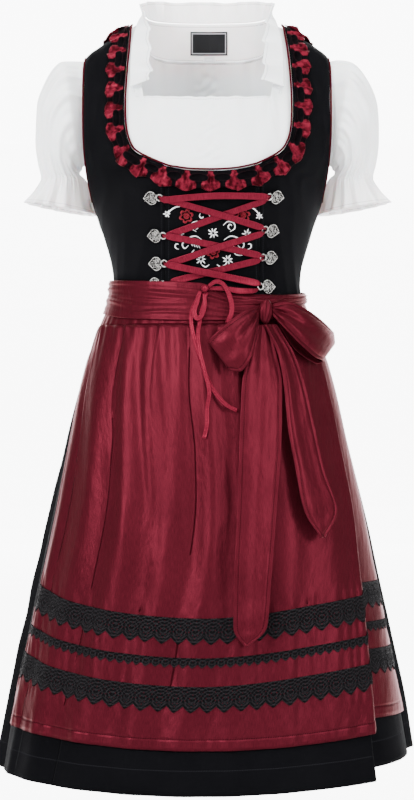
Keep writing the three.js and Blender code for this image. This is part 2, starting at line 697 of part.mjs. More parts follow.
function bowLoop(name, table, count) {
  const grid = steps(3).map((across) =>
    steps(count).map((t) => {
      const s = t * 7;
      const get = (key) => read(table, "s", key, s);
      return float(mix(get("upX"), get("lowX"), across), mix(get("upZ"), get("lowZ"), across), get("out"));
    }),
  );
  thicken(name, WINE, grid, SATIN);
}
bowLoop("bow_loop_left", LOOP_LEFT, 14);
bowLoop("bow_loop_right", LOOP_RIGHT, 14);
const TAIL_LEFT = [
  { s: 0, left: 66, right: 81, z: -391.2, out: 13.4 },
  { s: 1, left: 54, right: 92, z: -430, out: 14 },
  { s: 2, left: 46, right: 100, z: -470, out: 15 },
  { s: 3, left: 43, right: 99, z: -540, out: 17 },
  { s: 4, left: 40, right: 93, z: -630, out: 18 },
  { s: 5, left: 36, right: 86, z: -720, out: 19 },
  { s: 6, left: 35, right: 80, z: -784, out: 20 },
  { s: 7, left: 50, right: 54, z: -810, out: 20 },
];
const TAIL_RIGHT = [
  { s: 0, left: 75, right: 92, z: -390.8, out: 14.9 },
  { s: 1, left: 94, right: 116, z: -430, out: 18 },
  { s: 2, left: 102, right: 130, z: -470, out: 21 },
  { s: 3, left: 107, right: 142, z: -520, out: 23 },
  { s: 4, left: 118, right: 156, z: -580, out: 24 },
  { s: 5, left: 129, right: 173, z: -632, out: 25 },
  { s: 6, left: 151, right: 157, z: -668, out: 25 },
];
function bowTail(name, table, rows, folds) {
  const last = table.length - 1;
  const grid = steps(rows).map((t) =>
    steps(4).map((across) => {
      const get = (key) => read(table, "s", key, t * last);
      const crease = folds * Math.sin(Math.PI * 2 * across) * (1 - t * 0.6);
      return float(mix(get("left"), get("right"), across), get("z"), get("out") + crease);
    }),
  );
  thicken(name, WINE, grid, SATIN);
}
bowTail("bow_tail_left", TAIL_LEFT, 14, 1.6);
bowTail("bow_tail_right", TAIL_RIGHT, 12, 1.6);

// Hooks: a heart plate with a ring, pointing away from the middle.
const HOOKS = [
  { side: "left", number: 1, x: -61, z: -225, lean: 0 },
  { side: "left", number: 2, x: -56, z: -274.5, lean: 0 },
  { side: "left", number: 3, x: -54.5, z: -311, lean: 0 },
  { side: "left", number: 4, x: -57, z: -339, lean: 0 },
  { side: "right", number: 1, x: 79.5, z: -224, lean: 0 },
  { side: "right", number: 2, x: 74, z: -266.5, lean: 8 },
  { side: "right", number: 3, x: 71.5, z: -303, lean: 0 },
  { side: "right", number: 4, x: 68, z: -342, lean: 0 },
];
const HOOK = { ring: 5, hole: 3.1, reach: 22, half: 8.5, thick: 1.8, over: 1.1 };
function hookPlate() {
  const plate = new THREE.Shape();
  const neck = 2.4;
  const start = Math.asin(neck / HOOK.ring);
  plate.absarc(0, 0, HOOK.ring, start, 2 * Math.PI - start, false);
  plate.quadraticCurveTo(6.5, -HOOK.half, 12, -HOOK.half);
  plate.quadraticCurveTo(17, -7, HOOK.reach, 0);
  plate.quadraticCurveTo(17, 7, 12, HOOK.half);
  plate.quadraticCurveTo(6.5, HOOK.half, HOOK.ring * Math.cos(start), neck);
  const hole = new THREE.Path();
  hole.absarc(0, 0, HOOK.hole, 0, 2 * Math.PI, true);
  plate.holes.push(hole);
  return new THREE.ExtrudeGeometry(plate, { depth: HOOK.thick, bevelEnabled: false, curveSegments: 3 });
}
const hookFrames = {};
for (const hook of HOOKS) {
  const spot = seen(hook.x, hook.z);
  const sign = hook.side === "left" ? -1 : 1;
  const square = skin(spot.turn, spot.z, 1).sub(skin(spot.turn, spot.z)).normalize();
  const outward = skin(spot.turn + sign * 4, spot.z).sub(skin(spot.turn, spot.z));
  outward.addScaledVector(square, -outward.dot(square)).normalize();
  const up = square.clone().cross(outward);
  outward.applyAxisAngle(square, rad(hook.lean) * -sign);
  up.applyAxisAngle(square, rad(hook.lean) * -sign);
  const plate = hookPlate();
  const centre = skin(spot.turn, spot.z, HOOK.over);
  const place = new THREE.Matrix4().makeBasis(outward, up, square).setPosition(centre);
  plate.applyMatrix4(place);
  const mesh = new THREE.Mesh(plate, new THREE.MeshStandardMaterial(SILVER));
  mesh.name = `hook_${hook.side}_${hook.number}`;
  group.add(mesh);
  hookFrames[`${hook.side}${hook.number}`] = { centre, square, outward, up };
}

// Lacing: eight ribbon stretches from ring to ring, a knot, two loops and two tails.
const STRETCHES = [
  { from: "left1", to: "right1", out: 7.2, fromUp: 1.9, toUp: 1.9, sag: 2 },
  { from: "left1", to: "right2", out: 5.5, fromUp: -2.2, toUp: 1.9, sag: 0 },
  { from: "right1", to: "left2", out: 3.7, fromUp: -1.9, toUp: 1.9, sag: 0 },
  { from: "left2", to: "right3", out: 5.5, fromUp: -1.9, toUp: 1.9, sag: 0 },
  { from: "right2", to: "left3", out: 7.3, fromUp: -1.9, toUp: 1.9, sag: 0 },
  { from: "left3", to: "right4", out: 9.2, fromUp: -1.9, toUp: 1.9, sag: 0 },
  { from: "right3", to: "left4", out: 3.7, fromUp: -1.9, toUp: 0, sag: 0, short: 6.5 },
];
const LACING = { wide: 8.5, middling: 2.9, narrow: 1.9, thick: 0.9, rest: 3.7, under: 1.9 };
function ribbon(name, centres, widths, squares) {
  const grid = [1, -1].map((side) =>
    centres.map((p, i) => {
      const before = centres[Math.max(i - 1, 0)];
      const after = centres[Math.min(i + 1, centres.length - 1)];
      const across = after.clone().sub(before).cross(squares[i]).normalize();
      return p.clone().addScaledVector(across, (side * widths[i]) / 2);
    }),
  );
  const shift = (amount) => grid.map((line) => line.map((p, i) => p.clone().addScaledVector(squares[i], amount)));
  wall(name, RIBBON, shift(LACING.thick / 2), shift(-LACING.thick / 2));
}
STRETCHES.forEach((stretch, i) => {
  const a = hookFrames[stretch.from];
  const b = hookFrames[stretch.to];
  const start = a.centre.clone().addScaledVector(a.up, stretch.fromUp);
  const end = b.centre.clone().addScaledVector(b.up, stretch.toUp);
  const length = start.distanceTo(end) - (stretch.short ?? 0);
  end.sub(start).setLength(length).add(start);
  const shares = [0, 4 / length, 10 / length, 0.3, 0.5, 0.7, 1 - 10 / length, 1 - 4 / length, 1];
  const widths = shares.map((_, k) => {
    const fromEnd = Math.min(k, shares.length - 1 - k);
    return [LACING.narrow, LACING.middling, LACING.wide][Math.min(fromEnd, 2)];
  });
  const centres = [];
  const squares = [];
  shares.forEach((t, k) => {
    const p = start.clone().lerp(end, t);
    const turn = THREE.MathUtils.radToDeg(Math.asin(p.x / read(BODY, "z", "half", p.z)));
    const square = skin(turn, p.z, 1).sub(skin(turn, p.z)).normalize();
    const atEnd = k === 0 || k === shares.length - 1;
    const hidden = stretch.to === "left4" && t > 0.6 ? LACING.under : stretch.out;
    const out = atEnd ? Math.min(hidden, LACING.rest) : hidden;
    const centre = skin(turn, p.z + stretch.sag * Math.sin(Math.PI * t), out);
    centres.push(centre);
    squares.push(square);
  });
  ribbon(`lacing_${i + 1}`, centres, widths, squares);
});
// Narrow lacing drawn by what the camera sees: x, z, height over the figure and width.
const LACE_TO_KNOT = [
  { x: 67.5, z: -344.5, out: 3.7, wide: 1.9 },
  { x: 61, z: -347, out: 7, wide: 6 },
  { x: 42, z: -347, out: 11.5, wide: 7.5 },
  { x: 22, z: -344, out: 11.5, wide: 6 },
  { x: 2.2, z: -344, out: 11.2, wide: 4 },
];
const LACE_LOOP_LEFT = [
  { x: -9.2, z: -347.3, out: 12.7, wide: 4 },
  { x: -13, z: -360, out: 13.6, wide: 6 },
  { x: -17, z: -374, out: 13.6, wide: 6 },
  { x: -13, z: -383, out: 12.6, wide: 6 },
  { x: -6, z: -378, out: 11.2, wide: 5 },
  { x: -3, z: -364, out: 10.8, wide: 5 },
  { x: -4, z: -350, out: 10.8, wide: 4 },
];
const LACE_LOOP_RIGHT = [
  { x: 1.8, z: -341.3, out: 13.8, wide: 4 },
  { x: 12, z: -335, out: 14.6, wide: 5.5 },
  { x: 22, z: -339, out: 14.6, wide: 5.5 },
  { x: 30, z: -354, out: 14.6, wide: 6 },
  { x: 33, z: -372, out: 14.6, wide: 6 },
  { x: 27, z: -390, out: 13.6, wide: 6 },
];
const LACE_TAIL_LONG = [
  { x: -7, z: -348, out: 9.7, wide: 3 },
  { x: -14, z: -359, out: 9.6, wide: 4 },
  { x: -20, z: -373, out: 9.6, wide: 5 },
  { x: -21, z: -388, out: 10.4, wide: 5 },
  { x: -17, z: -408, out: 11, wide: 5 },
  { x: -12, z: -426, out: 12.5, wide: 5 },
  { x: -4, z: -450, out: 13, wide: 5 },
  { x: 8, z: -475, out: 12.5, wide: 5 },
  { x: 24, z: -494, out: 12, wide: 5 },
  { x: 40, z: -503, out: 12, wide: 5 },
];
const LACE_TAIL_SHORT = [
  { x: 0, z: -348.5, out: 9.7, wide: 3 },
  { x: -4, z: -362, out: 9.6, wide: 4 },
  { x: -8, z: -377, out: 9.6, wide: 5 },
  { x: -10, z: -391, out: 11, wide: 5 },
  { x: -12, z: -404, out: 13.6, wide: 5 },
  { x: -10, z: -424, out: 15.5, wide: 5 },
  { x: -3, z: -452, out: 16, wide: 5 },
  { x: 3, z: -478, out: 15.5, wide: 5 },
  { x: 0, z: -500, out: 12.5, wide: 5 },
  { x: 0, z: -520, out: 12, wide: 5 },
  { x: -4, z: -539, out: 12, wide: 5 },
];
function seenRibbon(name, table) {
  const rows = table.map((row, i) => ({ ...row, s: i }));
  const count = (table.length - 1) * 2;
  const centres = [];
  const squares = [];
  const widths = [];
  for (const t of steps(count)) {
    const s = t * (table.length - 1);
    const spot = seen(read(rows, "s", "x", s), read(rows, "s", "z", s), read(rows, "s", "out", s));
    const low = skin(spot.turn, spot.z);
    const square = skin(spot.turn, spot.z, 1).sub(low).normalize();
    centres.push(skin(spot.turn, spot.z, read(rows, "s", "out", s)));
    squares.push(square);
    widths.push(read(rows, "s", "wide", s));
  }
  ribbon(name, centres, widths, squares);
}
seenRibbon("lacing_8", LACE_TO_KNOT);
seenRibbon("lacing_loop_left", LACE_LOOP_LEFT);
seenRibbon("lacing_loop_right", LACE_LOOP_RIGHT);
seenRibbon("lacing_tail_long", LACE_TAIL_LONG);
seenRibbon("lacing_tail_short", LACE_TAIL_SHORT);
{
  const ball = new THREE.SphereGeometry(1, 8, 6);
  ball.scale(4.6, 3.4, 5);
  const knot = new THREE.Mesh(ball, new THREE.MeshStandardMaterial(RIBBON));
  knot.name = "lacing_knot";
  knot.position.copy(float(-3, -344, 12.9));
  group.add(knot);
}

// Blouse, under the bodice. Rows run from the neck edge and shoulder down to the hem under the bust.
const BLOUSE_HEM = -292;
const BLOUSE_ARM = { half: 149, top: -36, foot: -191 };
const BLOUSE_FRONT_NECK = [
  { t: 0, turn: 0, z: -103 },
  { t: 0.3, turn: 17, z: -102 },
  { t: 0.5, turn: 31.5, z: -100 },
  { t: 0.56, turn: 34, z: -92 },
  { t: 0.66, turn: 37, z: -56 },
  { t: 0.74, turn: 47, z: -22 },
  { t: 0.8, turn: 89.5, z: 2 },
  { t: 1, turn: 89.5, z: -36 },
];
const BLOUSE_BACK_NECK = [
  { t: 0, turn: 0, z: -38 },
  { t: 0.3, turn: 16, z: -38 },
  { t: 0.48, turn: 28, z: -34 },
  { t: 0.6, turn: 42, z: -20 },
  { t: 0.7, turn: 62, z: -4 },
  { t: 0.78, turn: 89.5, z: 4 },
  { t: 1, turn: 89.5, z: -36 },
];
function blouseSpot(neck, down, across) {
  const side = Math.abs(across);
  const midTop = neck[0].z;
  const shoulder = { turn: read(neck, "t", "turn", side), z: read(neck, "t", "z", side) };
  const armShare = 0.66;
  let edge = { turn: 89.8, z: mix(BLOUSE_ARM.foot, BLOUSE_HEM, (down - armShare) / (1 - armShare)) };
  if (down < armShare) {
    const z = mix(BLOUSE_ARM.top, BLOUSE_ARM.foot, (down / armShare) ** 1.1);
    const reach = read(BODY, "z", "half", z) + BLOUSE_UNDER;
    edge = { turn: THREE.MathUtils.radToDeg(Math.asin(Math.min(0.9999, BLOUSE_ARM.half / reach))), z };
    const foot = Math.max(0, (down / armShare - 0.75) / 0.25) ** 2;
    edge.turn = mix(edge.turn, 89.8, foot);
  }
  const flat = { turn: edge.turn * side, z: mix(mix(midTop, BLOUSE_HEM, down), edge.z, side) };
  const first = { turn: 89.5 * side, z: mix(midTop, BLOUSE_ARM.top, side) };
  const fade = Math.max(0, 1 - down / 0.5) ** 1.5;
  return {
    turn: Math.sign(across) * (flat.turn + (shoulder.turn - first.turn) * fade),
    z: flat.z + (shoulder.z - first.z) * fade,
  };
}
const BLOUSE_ACROSS = [-1, -0.9, -0.8, -0.74, -0.66, -0.56, -0.5, -0.3, -0.1, 0.1, 0.3, 0.5, 0.56, 0.66, 0.74, 0.8, 0.9, 1];
const BLOUSE_DOWN = [0, 0.08, 0.18, 0.3, 0.44, 0.55, 0.66, 0.82, 1];
panel("blouse_front", WHITE, BLOUSE_DOWN, BLOUSE_ACROSS, COTTON, (down, across) => ({
  ...blouseSpot(BLOUSE_FRONT_NECK, down, across),
  out: BLOUSE_UNDER,
}));
const BLOUSE_BACK_ACROSS = [-1, -0.89, -0.78, -0.7, -0.6, -0.48, -0.3, -0.1, 0.1, 0.3, 0.48, 0.6, 0.7, 0.78, 0.89, 1];
panel("blouse_back", WHITE, BLOUSE_DOWN, BLOUSE_BACK_ACROSS, COTTON, (down, across) => {
  const spot = blouseSpot(BLOUSE_BACK_NECK, down, across);
  return { turn: 180 - spot.turn, z: spot.z, out: BLOUSE_UNDER };
});

// Standing collar band on the back neck edge, and its frill, which falls down both front edges.
const BAND = [
  { t: 0, x: 0, y: 66, high: 8 },
  { t: 0.3, x: 38, y: 61, high: 8 },
  { t: 0.48, x: 62, y: 50, high: 8 },
  { t: 0.6, x: 75, y: 34, high: 8.5 },
  { t: 0.7, x: 81, y: 17, high: 10 },
  { t: 0.77, x: 84, y: 4, high: 11 },
];
function bandPoint(t, up) {
  const side = Math.abs(t);
  const sign = Math.sign(t);
  const turn = 180 - sign * read(BLOUSE_BACK_NECK, "t", "turn", side);
  const low = skin(turn, read(BLOUSE_BACK_NECK, "t", "z", side), BLOUSE_UNDER + COTTON / 2);
  low.z += COTTON / 2 + SEAM_GAP + 0.8 + 0.9 * side;
  const high = new THREE.Vector3(sign * read(BAND, "t", "x", side), read(BAND, "t", "y", side), read(BAND, "t", "high", side));
  return low.lerp(high, up);
}
{
  const grid = steps(2).map((up) => steps(18).map((t) => bandPoint((t - 0.5) * 1.44, up)));
  thicken("collar_band", WHITE, grid, COTTON);
}
const FRILL = [
  { s: 0, x: 0, y: 66, z: 8.9, edgeX: 0, edgeY: 74, edgeZ: 38 },
  { s: 1, x: 30, y: 63, z: 8.9, edgeX: 32, edgeY: 70, edgeZ: 38 },
  { s: 2, x: 58, y: 53, z: 9, edgeX: 60, edgeY: 60, edgeZ: 37 },
  { s: 3, x: 75, y: 34, z: 9.8, edgeX: 80, edgeY: 38, edgeZ: 34 },
  { s: 4, x: 81, y: 17, z: 12.4, edgeX: 88, edgeY: 12, edgeZ: 27 },
  { s: 5, x: 86, y: 2, z: 9, edgeX: 82, edgeY: -12, edgeZ: 16 },
  { s: 6, x: 93, y: -22, z: -11, edgeX: 75, edgeY: -34, edgeZ: -8 },
  { s: 7, x: 97, y: -46, z: -36, edgeX: 73, edgeY: -60, edgeZ: -35 },
  { s: 8, x: 98, y: -66, z: -64, edgeX: 72, edgeY: -84, edgeZ: -64 },
  { s: 9, x: 98, y: -83, z: -91, edgeX: 72, edgeY: -99, edgeZ: -84 },
];
{
  const waves = 17;
  const count = 51;
  const grid = steps(2).map((over) =>
    steps(count).map((t) => {
      const place = (t - 0.5) * 18;
      const sign = Math.sign(place);
      const get = (key) => read(FRILL, "s", key, Math.abs(place));
      const low = new THREE.Vector3(sign * get("x"), get("y"), get("z"));
      const high = new THREE.Vector3(sign * get("edgeX"), get("edgeY"), get("edgeZ"));
      const p = low.lerp(high, over);
      const lean = Math.min(1, Math.max(0, (Math.abs(place) - 3.5) / 2));
      const wave = (1 + 3.2 * over) * Math.sin(2 * Math.PI * waves * t) * over;
      p.y += wave * 0.8 * (lean > 0.5 ? -1 : 1) + over * 1.5;
      p.z += wave * lean * 0.4;
      return p;
    }),
  );
  thicken("collar_frill", WHITE, grid, 1);
}

// Label and size tab on the inner face of the collar band. Both are blank.
function bandPatch(name, look, left, right, low, high, off, thick) {
  const side = (more) =>
    [low, high].map((z) =>
      steps(4).map((t) => {
        const x = mix(left, right, t);
        const spot = bandPoint(x / 133, (z + 37.3) / 45.3);
        return new THREE.Vector3(x, spot.y - off - more, z);
      }),
    );
  wall(name, look, side(thick), side(0));
}
bandPatch("neck_label", BLACK, -22, 27, -33, -2, 0.95, 0.7);
bandPatch("size_tab", WHITE, -4, 10, -43, -34.2, 1.2, 0.6);

// Puff sleeve with an elastic and a frill below it: outer and inner end of each ring, and its depth.
const SLEEVE = [
  { s: 0, outX: 152, outZ: -51, inX: 156, inZ: -183, outY: 0, inY: 0, deep: 29, wave: 0 },
  { s: 1, outX: 164.5, outZ: -51, inX: 162, inZ: -185.5, outY: 0, inY: 0, deep: 33, wave: 0.4 },
  { s: 2, outX: 186, outZ: -53, inX: 163.5, inZ: -189, outY: 0, inY: 1, deep: 60, wave: 1.2 },
  { s: 3, outX: 208, outZ: -76, inX: 165.5, inZ: -190.6, outY: 0, inY: 3, deep: 66, wave: 1.5 },
  { s: 4, outX: 220, outZ: -110, inX: 166.5, inZ: -193, outY: 0, inY: 5, deep: 66, wave: 1.6 },
  { s: 5, outX: 222, outZ: -150, inX: 166, inZ: -196, outY: 0, inY: 8, deep: 60, wave: 1.5 },
  { s: 6, outX: 218, outZ: -182, inX: 164.5, inZ: -199.5, outY: 0, inY: 12, deep: 52, wave: 1.2 },
  { s: 7, outX: 214, outZ: -200, inX: 161.5, inZ: -204, outY: 0, inY: 16, deep: 47, wave: 1 },
  { s: 8, outX: 222, outZ: -216, inX: 155.5, inZ: -224, outY: 0, inY: 24, deep: 51, wave: 2.2 },
  { s: 9, outX: 235, outZ: -233, inX: 146, inZ: -247, outY: -2, inY: 36, deep: 58, wave: 4 },
];
const SLEEVE_SIDES = 28;
for (const [name, sign] of [["sleeve_left", -1], ["sleeve_right", 1]]) {
  const grid = steps(9).map((t) => {
    const get = (key) => read(SLEEVE, "s", key, t * 9);
    const outer = new THREE.Vector3(sign * get("outX"), get("outY"), get("outZ"));
    const inner = new THREE.Vector3(sign * get("inX"), get("inY"), get("inZ"));
    const centre = outer.clone().lerp(inner, 0.5);
    const arm = outer.clone().sub(inner).multiplyScalar(0.5);
    return Array.from({ length: SLEEVE_SIDES }, (_, k) => {
      const angle = (2 * Math.PI * k) / SLEEVE_SIDES;
      const calm = 0.5 + 0.5 * Math.min(1, 0.6 + Math.cos(angle));
      const swell = 1 + ((k % 2 ? 1 : -1) * get("wave") * calm) / 50;
      return centre
        .clone()
        .addScaledVector(arm, Math.cos(angle) * swell)
        .add(new THREE.Vector3(0, get("deep") * Math.sin(angle) * swell, 0));
    });
  });
  thicken(name, WHITE, grid, COTTON, true);
}

export default group;
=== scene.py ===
"""Dirndl: laced bodice and skirt, satin apron with its bow, and a short white blouse.

The sewn pieces are thin shells on the solids' own form, with finer folds. Sizes are in millimetres
until a mesh is made, which is in metres. +Z is up, the front faces -Y, +X is the picture's right.
"""

import math

import bpy
import numpy as np
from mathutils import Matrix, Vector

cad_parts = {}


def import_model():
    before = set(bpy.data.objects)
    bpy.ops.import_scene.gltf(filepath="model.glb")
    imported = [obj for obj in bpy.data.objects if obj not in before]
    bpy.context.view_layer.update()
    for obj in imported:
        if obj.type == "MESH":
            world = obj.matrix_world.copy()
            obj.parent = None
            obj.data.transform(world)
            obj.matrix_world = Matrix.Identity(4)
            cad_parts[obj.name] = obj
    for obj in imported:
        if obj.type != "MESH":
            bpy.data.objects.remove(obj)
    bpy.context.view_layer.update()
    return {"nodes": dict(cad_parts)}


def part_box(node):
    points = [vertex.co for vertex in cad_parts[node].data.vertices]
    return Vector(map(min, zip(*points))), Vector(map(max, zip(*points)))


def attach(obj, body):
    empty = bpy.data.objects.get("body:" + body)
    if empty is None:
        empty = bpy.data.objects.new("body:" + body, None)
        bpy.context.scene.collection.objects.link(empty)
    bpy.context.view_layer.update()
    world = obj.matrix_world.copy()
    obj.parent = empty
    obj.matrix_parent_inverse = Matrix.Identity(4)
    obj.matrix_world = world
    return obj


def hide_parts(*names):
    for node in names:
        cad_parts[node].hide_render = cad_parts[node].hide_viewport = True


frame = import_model()
MM = 0.001

# Driving sizes, the same as the solids'.
LINED = 1.8
CLOTH = 1.6
SATIN = 1.2
COTTON = 1.2
SEAM_GAP = 0.3
EYE_FAR = 3600
EYE_HEIGHT = -489
WAIST_Z = -359
APRON_TOP = -394.5
APRON_OVER = 2
BLOUSE_UNDER = -6


# ---------------------------------------------------------------- tables and the figure
def table(columns, *rows):
    """A short table as one array for each named column."""
    return {name: np.array([row[i] for row in rows], float) for i, name in enumerate(columns.split())}


def read(tab, along, name, at):
    """Smooth value of one column, whose rows rise along another column."""
    xs, ys = tab[along], tab[name]
    x = np.clip(np.asarray(at, float), xs[0], xs[-1])
    i = np.clip(np.searchsorted(xs, x, side="left") - 1, 0, len(xs) - 2)
    slope = np.diff(ys) / np.diff(xs)
    tangent = np.empty(len(xs))
    tangent[0], tangent[-1] = slope[0], slope[-1]
    a, b = slope[:-1], slope[1:]
    tangent[1:-1] = np.where(a * b > 0, 2 * a * b / np.where(a * b > 0, a + b, 1), 0)
    h = xs[i + 1] - xs[i]
    t = (x - xs[i]) / h
    return (
        ys[i] * (2 * t**3 - 3 * t**2 + 1)
        + h * tangent[i] * (t**3 - 2 * t**2 + t)
        + ys[i + 1] * (3 * t**2 - 2 * t**3)
        + h * tangent[i + 1] * (t**3 - t**2)
    )


def mix(a, b, t):
    return a + (b - a) * t


BODY = table(
    "z half front back",
    (-990, 268, 178, 187),
    (-866, 247, 167, 175),
    (-710, 215.5, 153, 160),
    (-554, 181.5, 137, 142),
    (-450, 156.5, 124, 128),
    (-398, 139, 113, 112),
    (-359, 124, 102, 94),
    (-339, 121.5, 99, 88),
    (-294, 130, 109, 91),
    (-260, 141, 121, 97),
    (-229, 151, 133, 101),
    (-200, 157.5, 138, 103),
    (-165, 167, 132, 102),
    (-140, 173, 122, 101),
    (-100, 175, 100, 95),
    (-80, 172, 88, 90),
    (-60, 166, 76, 84),
    (-43, 157, 66, 76),
    (-20, 125, 52, 62),
    (-2, 100, 38, 48),
    (14, 70, 18, 30),
)
BUST = {"x": 70, "z": -196, "wide": 46, "tall": 44, "out": 9}


def base(turn, z):
    """A point of the figure. turn is in degrees from the front middle."""
    turn, z = np.broadcast_arrays(np.asarray(turn, float), np.asarray(z, float))
    half = read(BODY, "z", "half", z)
    cosine = np.cos(np.radians(turn))
    depth = np.where(cosine >= 0, read(BODY, "z", "front", z), read(BODY, "z", "back", z))
    x = half * np.sin(np.radians(turn))
    away = ((np.abs(x) - BUST["x"]) / BUST["wide"]) ** 2 + ((z - BUST["z"]) / BUST["tall"]) ** 2
    bust = np.where(cosine > 0, BUST["out"] * np.exp(-away) * cosine, 0)
    return np.stack([x, -depth * cosine - bust, z], -1)


def unit(v):
    return v / np.maximum(np.linalg.norm(v, axis=-1, keepdims=True), 1e-9)


def square_to(turn, z):
    """The figure's outward direction."""
    across = base(np.asarray(turn) + 0.5, z) - base(np.asarray(turn) - 0.5, z)
    up = base(turn, np.asarray(z) + 1) - base(turn, np.asarray(z) - 1)
    return unit(np.cross(across, up))


def skin(turn, z, out=0.0):
    return base(turn, z) + square_to(turn, z) * np.asarray(out, float)[..., None]


def seen(x, z, out=0.0):
    """The place on the front where the camera sees x and z, as turn and z."""
    x, z, out = np.broadcast_arrays(np.asarray(x, float), np.asarray(z, float), np.asarray(out, float))
    turn, height = np.zeros(x.shape), z.copy()
    for _ in range(8):
        point = skin(turn, height, out)
        scale = (EYE_FAR + point[..., 1]) / EYE_FAR
        height = height + EYE_HEIGHT + (z - EYE_HEIGHT) * scale - point[..., 2]
        half = read(BODY, "z", "half", height) + out
        turn = np.degrees(np.arcsin(np.clip(x * scale / half, -1, 1)))
    return turn, height


def before(x, z, out):
    """A place in front of the garment by what the camera sees, with a height over the figure."""
    turn, height = seen(x, z, out)
    return skin(turn, height, out)


# ---------------------------------------------------------------- making meshes
def finer(grid, per_row, per_column, loop=False):
    """A smooth finer grid through the grid's own points."""

    def along(points, per, closed):
        n = len(points)
        if per <= 1:
            return points
        if closed:
            p = np.concatenate([points[-1:], points, points[:2]])
            spans = n
        else:
            p = np.concatenate([2 * points[:1] - points[1:2], points, 2 * points[-1:] - points[-2:-1]])
            spans = n - 1
        out = []
        for s in range(spans):
            a, b, c, d = p[s], p[s + 1], p[s + 2], p[s + 3]
            for k in range(per):
                t = k / per
                out.append(
                    0.5 * (2 * b + (c - a) * t + (2 * a - 5 * b + 4 * c - d) * t**2 + (3 * b - a - 3 * c + d) * t**3)
                )
        if not closed:
            out.append(points[-1])
        return np.array(out)

    rows = along(np.asarray(grid, float), per_row, False)
    return np.swapaxes(along(np.swapaxes(rows, 0, 1), per_column, loop), 0, 1)


def squares(grid, loop=False):
    """Directions square to a grid."""
    down = np.gradient(grid, axis=0)
    if loop:
        side = (np.roll(grid, -1, axis=1) - np.roll(grid, 1, axis=1)) / 2
    else:
        side = np.gradient(grid, axis=1)
    return unit(np.cross(down, side))


def lengths(grid, axis):
    """How far each point lies along its row or column."""
    step = np.linalg.norm(np.diff(grid, axis=axis), axis=-1)
    total = np.cumsum(step, axis=axis)
    pad = [(0, 0), (0, 0)]
    pad[axis] = (1, 0)
    return np.pad(total, pad)


def place(name, points, faces, look, node_names=(), smooth=True, uv=None, marks=None, flat_from=None):
    """Makes a mesh object from points in millimetres, and puts it on the garment."""
    mesh = bpy.data.meshes.new(name)
    mesh.from_pydata((np.asarray(points) * MM).tolist(), [], faces)
    mesh.update()
    soft = np.full(len(mesh.polygons), bool(smooth))
    if flat_from is not None:
        soft[flat_from:] = False
    mesh.polygons.foreach_set("use_smooth", soft)
    if uv is not None:
        layer = mesh.uv_layers.new(name="cloth")
        layer.data.foreach_set("uv", np.asarray(uv, np.float32).ravel())
    for key, values in (marks or {}).items():
        attribute = mesh.attributes.new(key, "FLOAT", "POINT")
        attribute.data.foreach_set("value", np.asarray(values, np.float32).ravel())
    piece = bpy.data.objects.new(name, mesh)
    bpy.context.scene.collection.objects.link(piece)
    mesh.materials.append(look)
    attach(piece, "root")
    if node_names:
        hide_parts(*node_names)
    return piece


def shell(name, outer, inner, look, nodes=(), loop=False, marks=None):
    """A closed wall between two grids of points, with its own map in millimetres of cloth."""
    rows, cols = outer.shape[:2]
    count = rows * cols
    points = np.concatenate([outer.reshape(-1, 3), inner.reshape(-1, 3)])
    r = np.arange(rows - 1)[:, None]
    c = np.arange(cols if loop else cols - 1)[None, :]
    after = (c + 1) % cols
    a, b = r * cols + c, r * cols + after
    d, e = (r + 1) * cols + c, (r + 1) * cols + after
    front = np.stack([a, b, e, d], -1).reshape(-1, 4)
    back = np.stack([a, d, e, b], -1).reshape(-1, 4) + count
    cc = c.ravel()
    nn = after.ravel()
    end = (rows - 1) * cols
    rims = [
        np.stack([cc, cc + count, nn + count, nn], -1),
        np.stack([end + cc, end + nn, end + nn + count, end + cc + count], -1),
    ]
    if not loop:
        rr = r.ravel() * cols
        rims.append(np.stack([rr, rr + cols, rr + cols + count, rr + count], -1))
        rr = rr + cols - 1
        rims.append(np.stack([rr, rr + count, rr + cols + count, rr + cols], -1))
    faces = np.concatenate([front, back, *rims])
    p, q, s = points[faces[:, 0]], points[faces[:, 1]], points[faces[:, 2]]
    t = points[faces[:, 3]]
    volume = np.einsum("ij,ij->i", p, np.cross(q, s)).sum() + np.einsum("ij,ij->i", p, np.cross(s, t)).sum()
    if volume < 0:
        faces = faces[:, ::-1]
    closed = np.concatenate([outer, outer[:, :1]], axis=1) if loop else outer
    u_all = lengths(closed, 1)
    u_all = u_all - u_all[:, u_all.shape[1] // 2][:, None]
    u = u_all[:, :cols].ravel()
    u_end = u_all[:, -1]
    v = lengths(outer, 0).ravel()
    vertex = faces.ravel() % count
    us = u[vertex]
    if loop:
        column = (vertex % cols).reshape(-1, 4)
        wraps = (column.max(1) == cols - 1) & (column.min(1) == 0)
        swap = (wraps[:, None] & (column == 0)).ravel()
        us = np.where(swap, u_end[vertex // cols], us)
    uv = np.stack([us, v[vertex]], -1)
    marks = {key: np.concatenate([m.ravel(), m.ravel()]) for key, m in (marks or {}).items()}
    walls = len(front) + len(back)
    return place(name, points, faces.tolist(), look, nodes, uv=uv, marks=marks, flat_from=walls)


def cloth(name, middle, thick, look, nodes=(), loop=False, marks=None):
    """A thin wall around a middle grid."""
    out = squares(middle, loop) * thick / 2
    return shell(name, middle + out, middle - out, look, nodes, loop, marks)


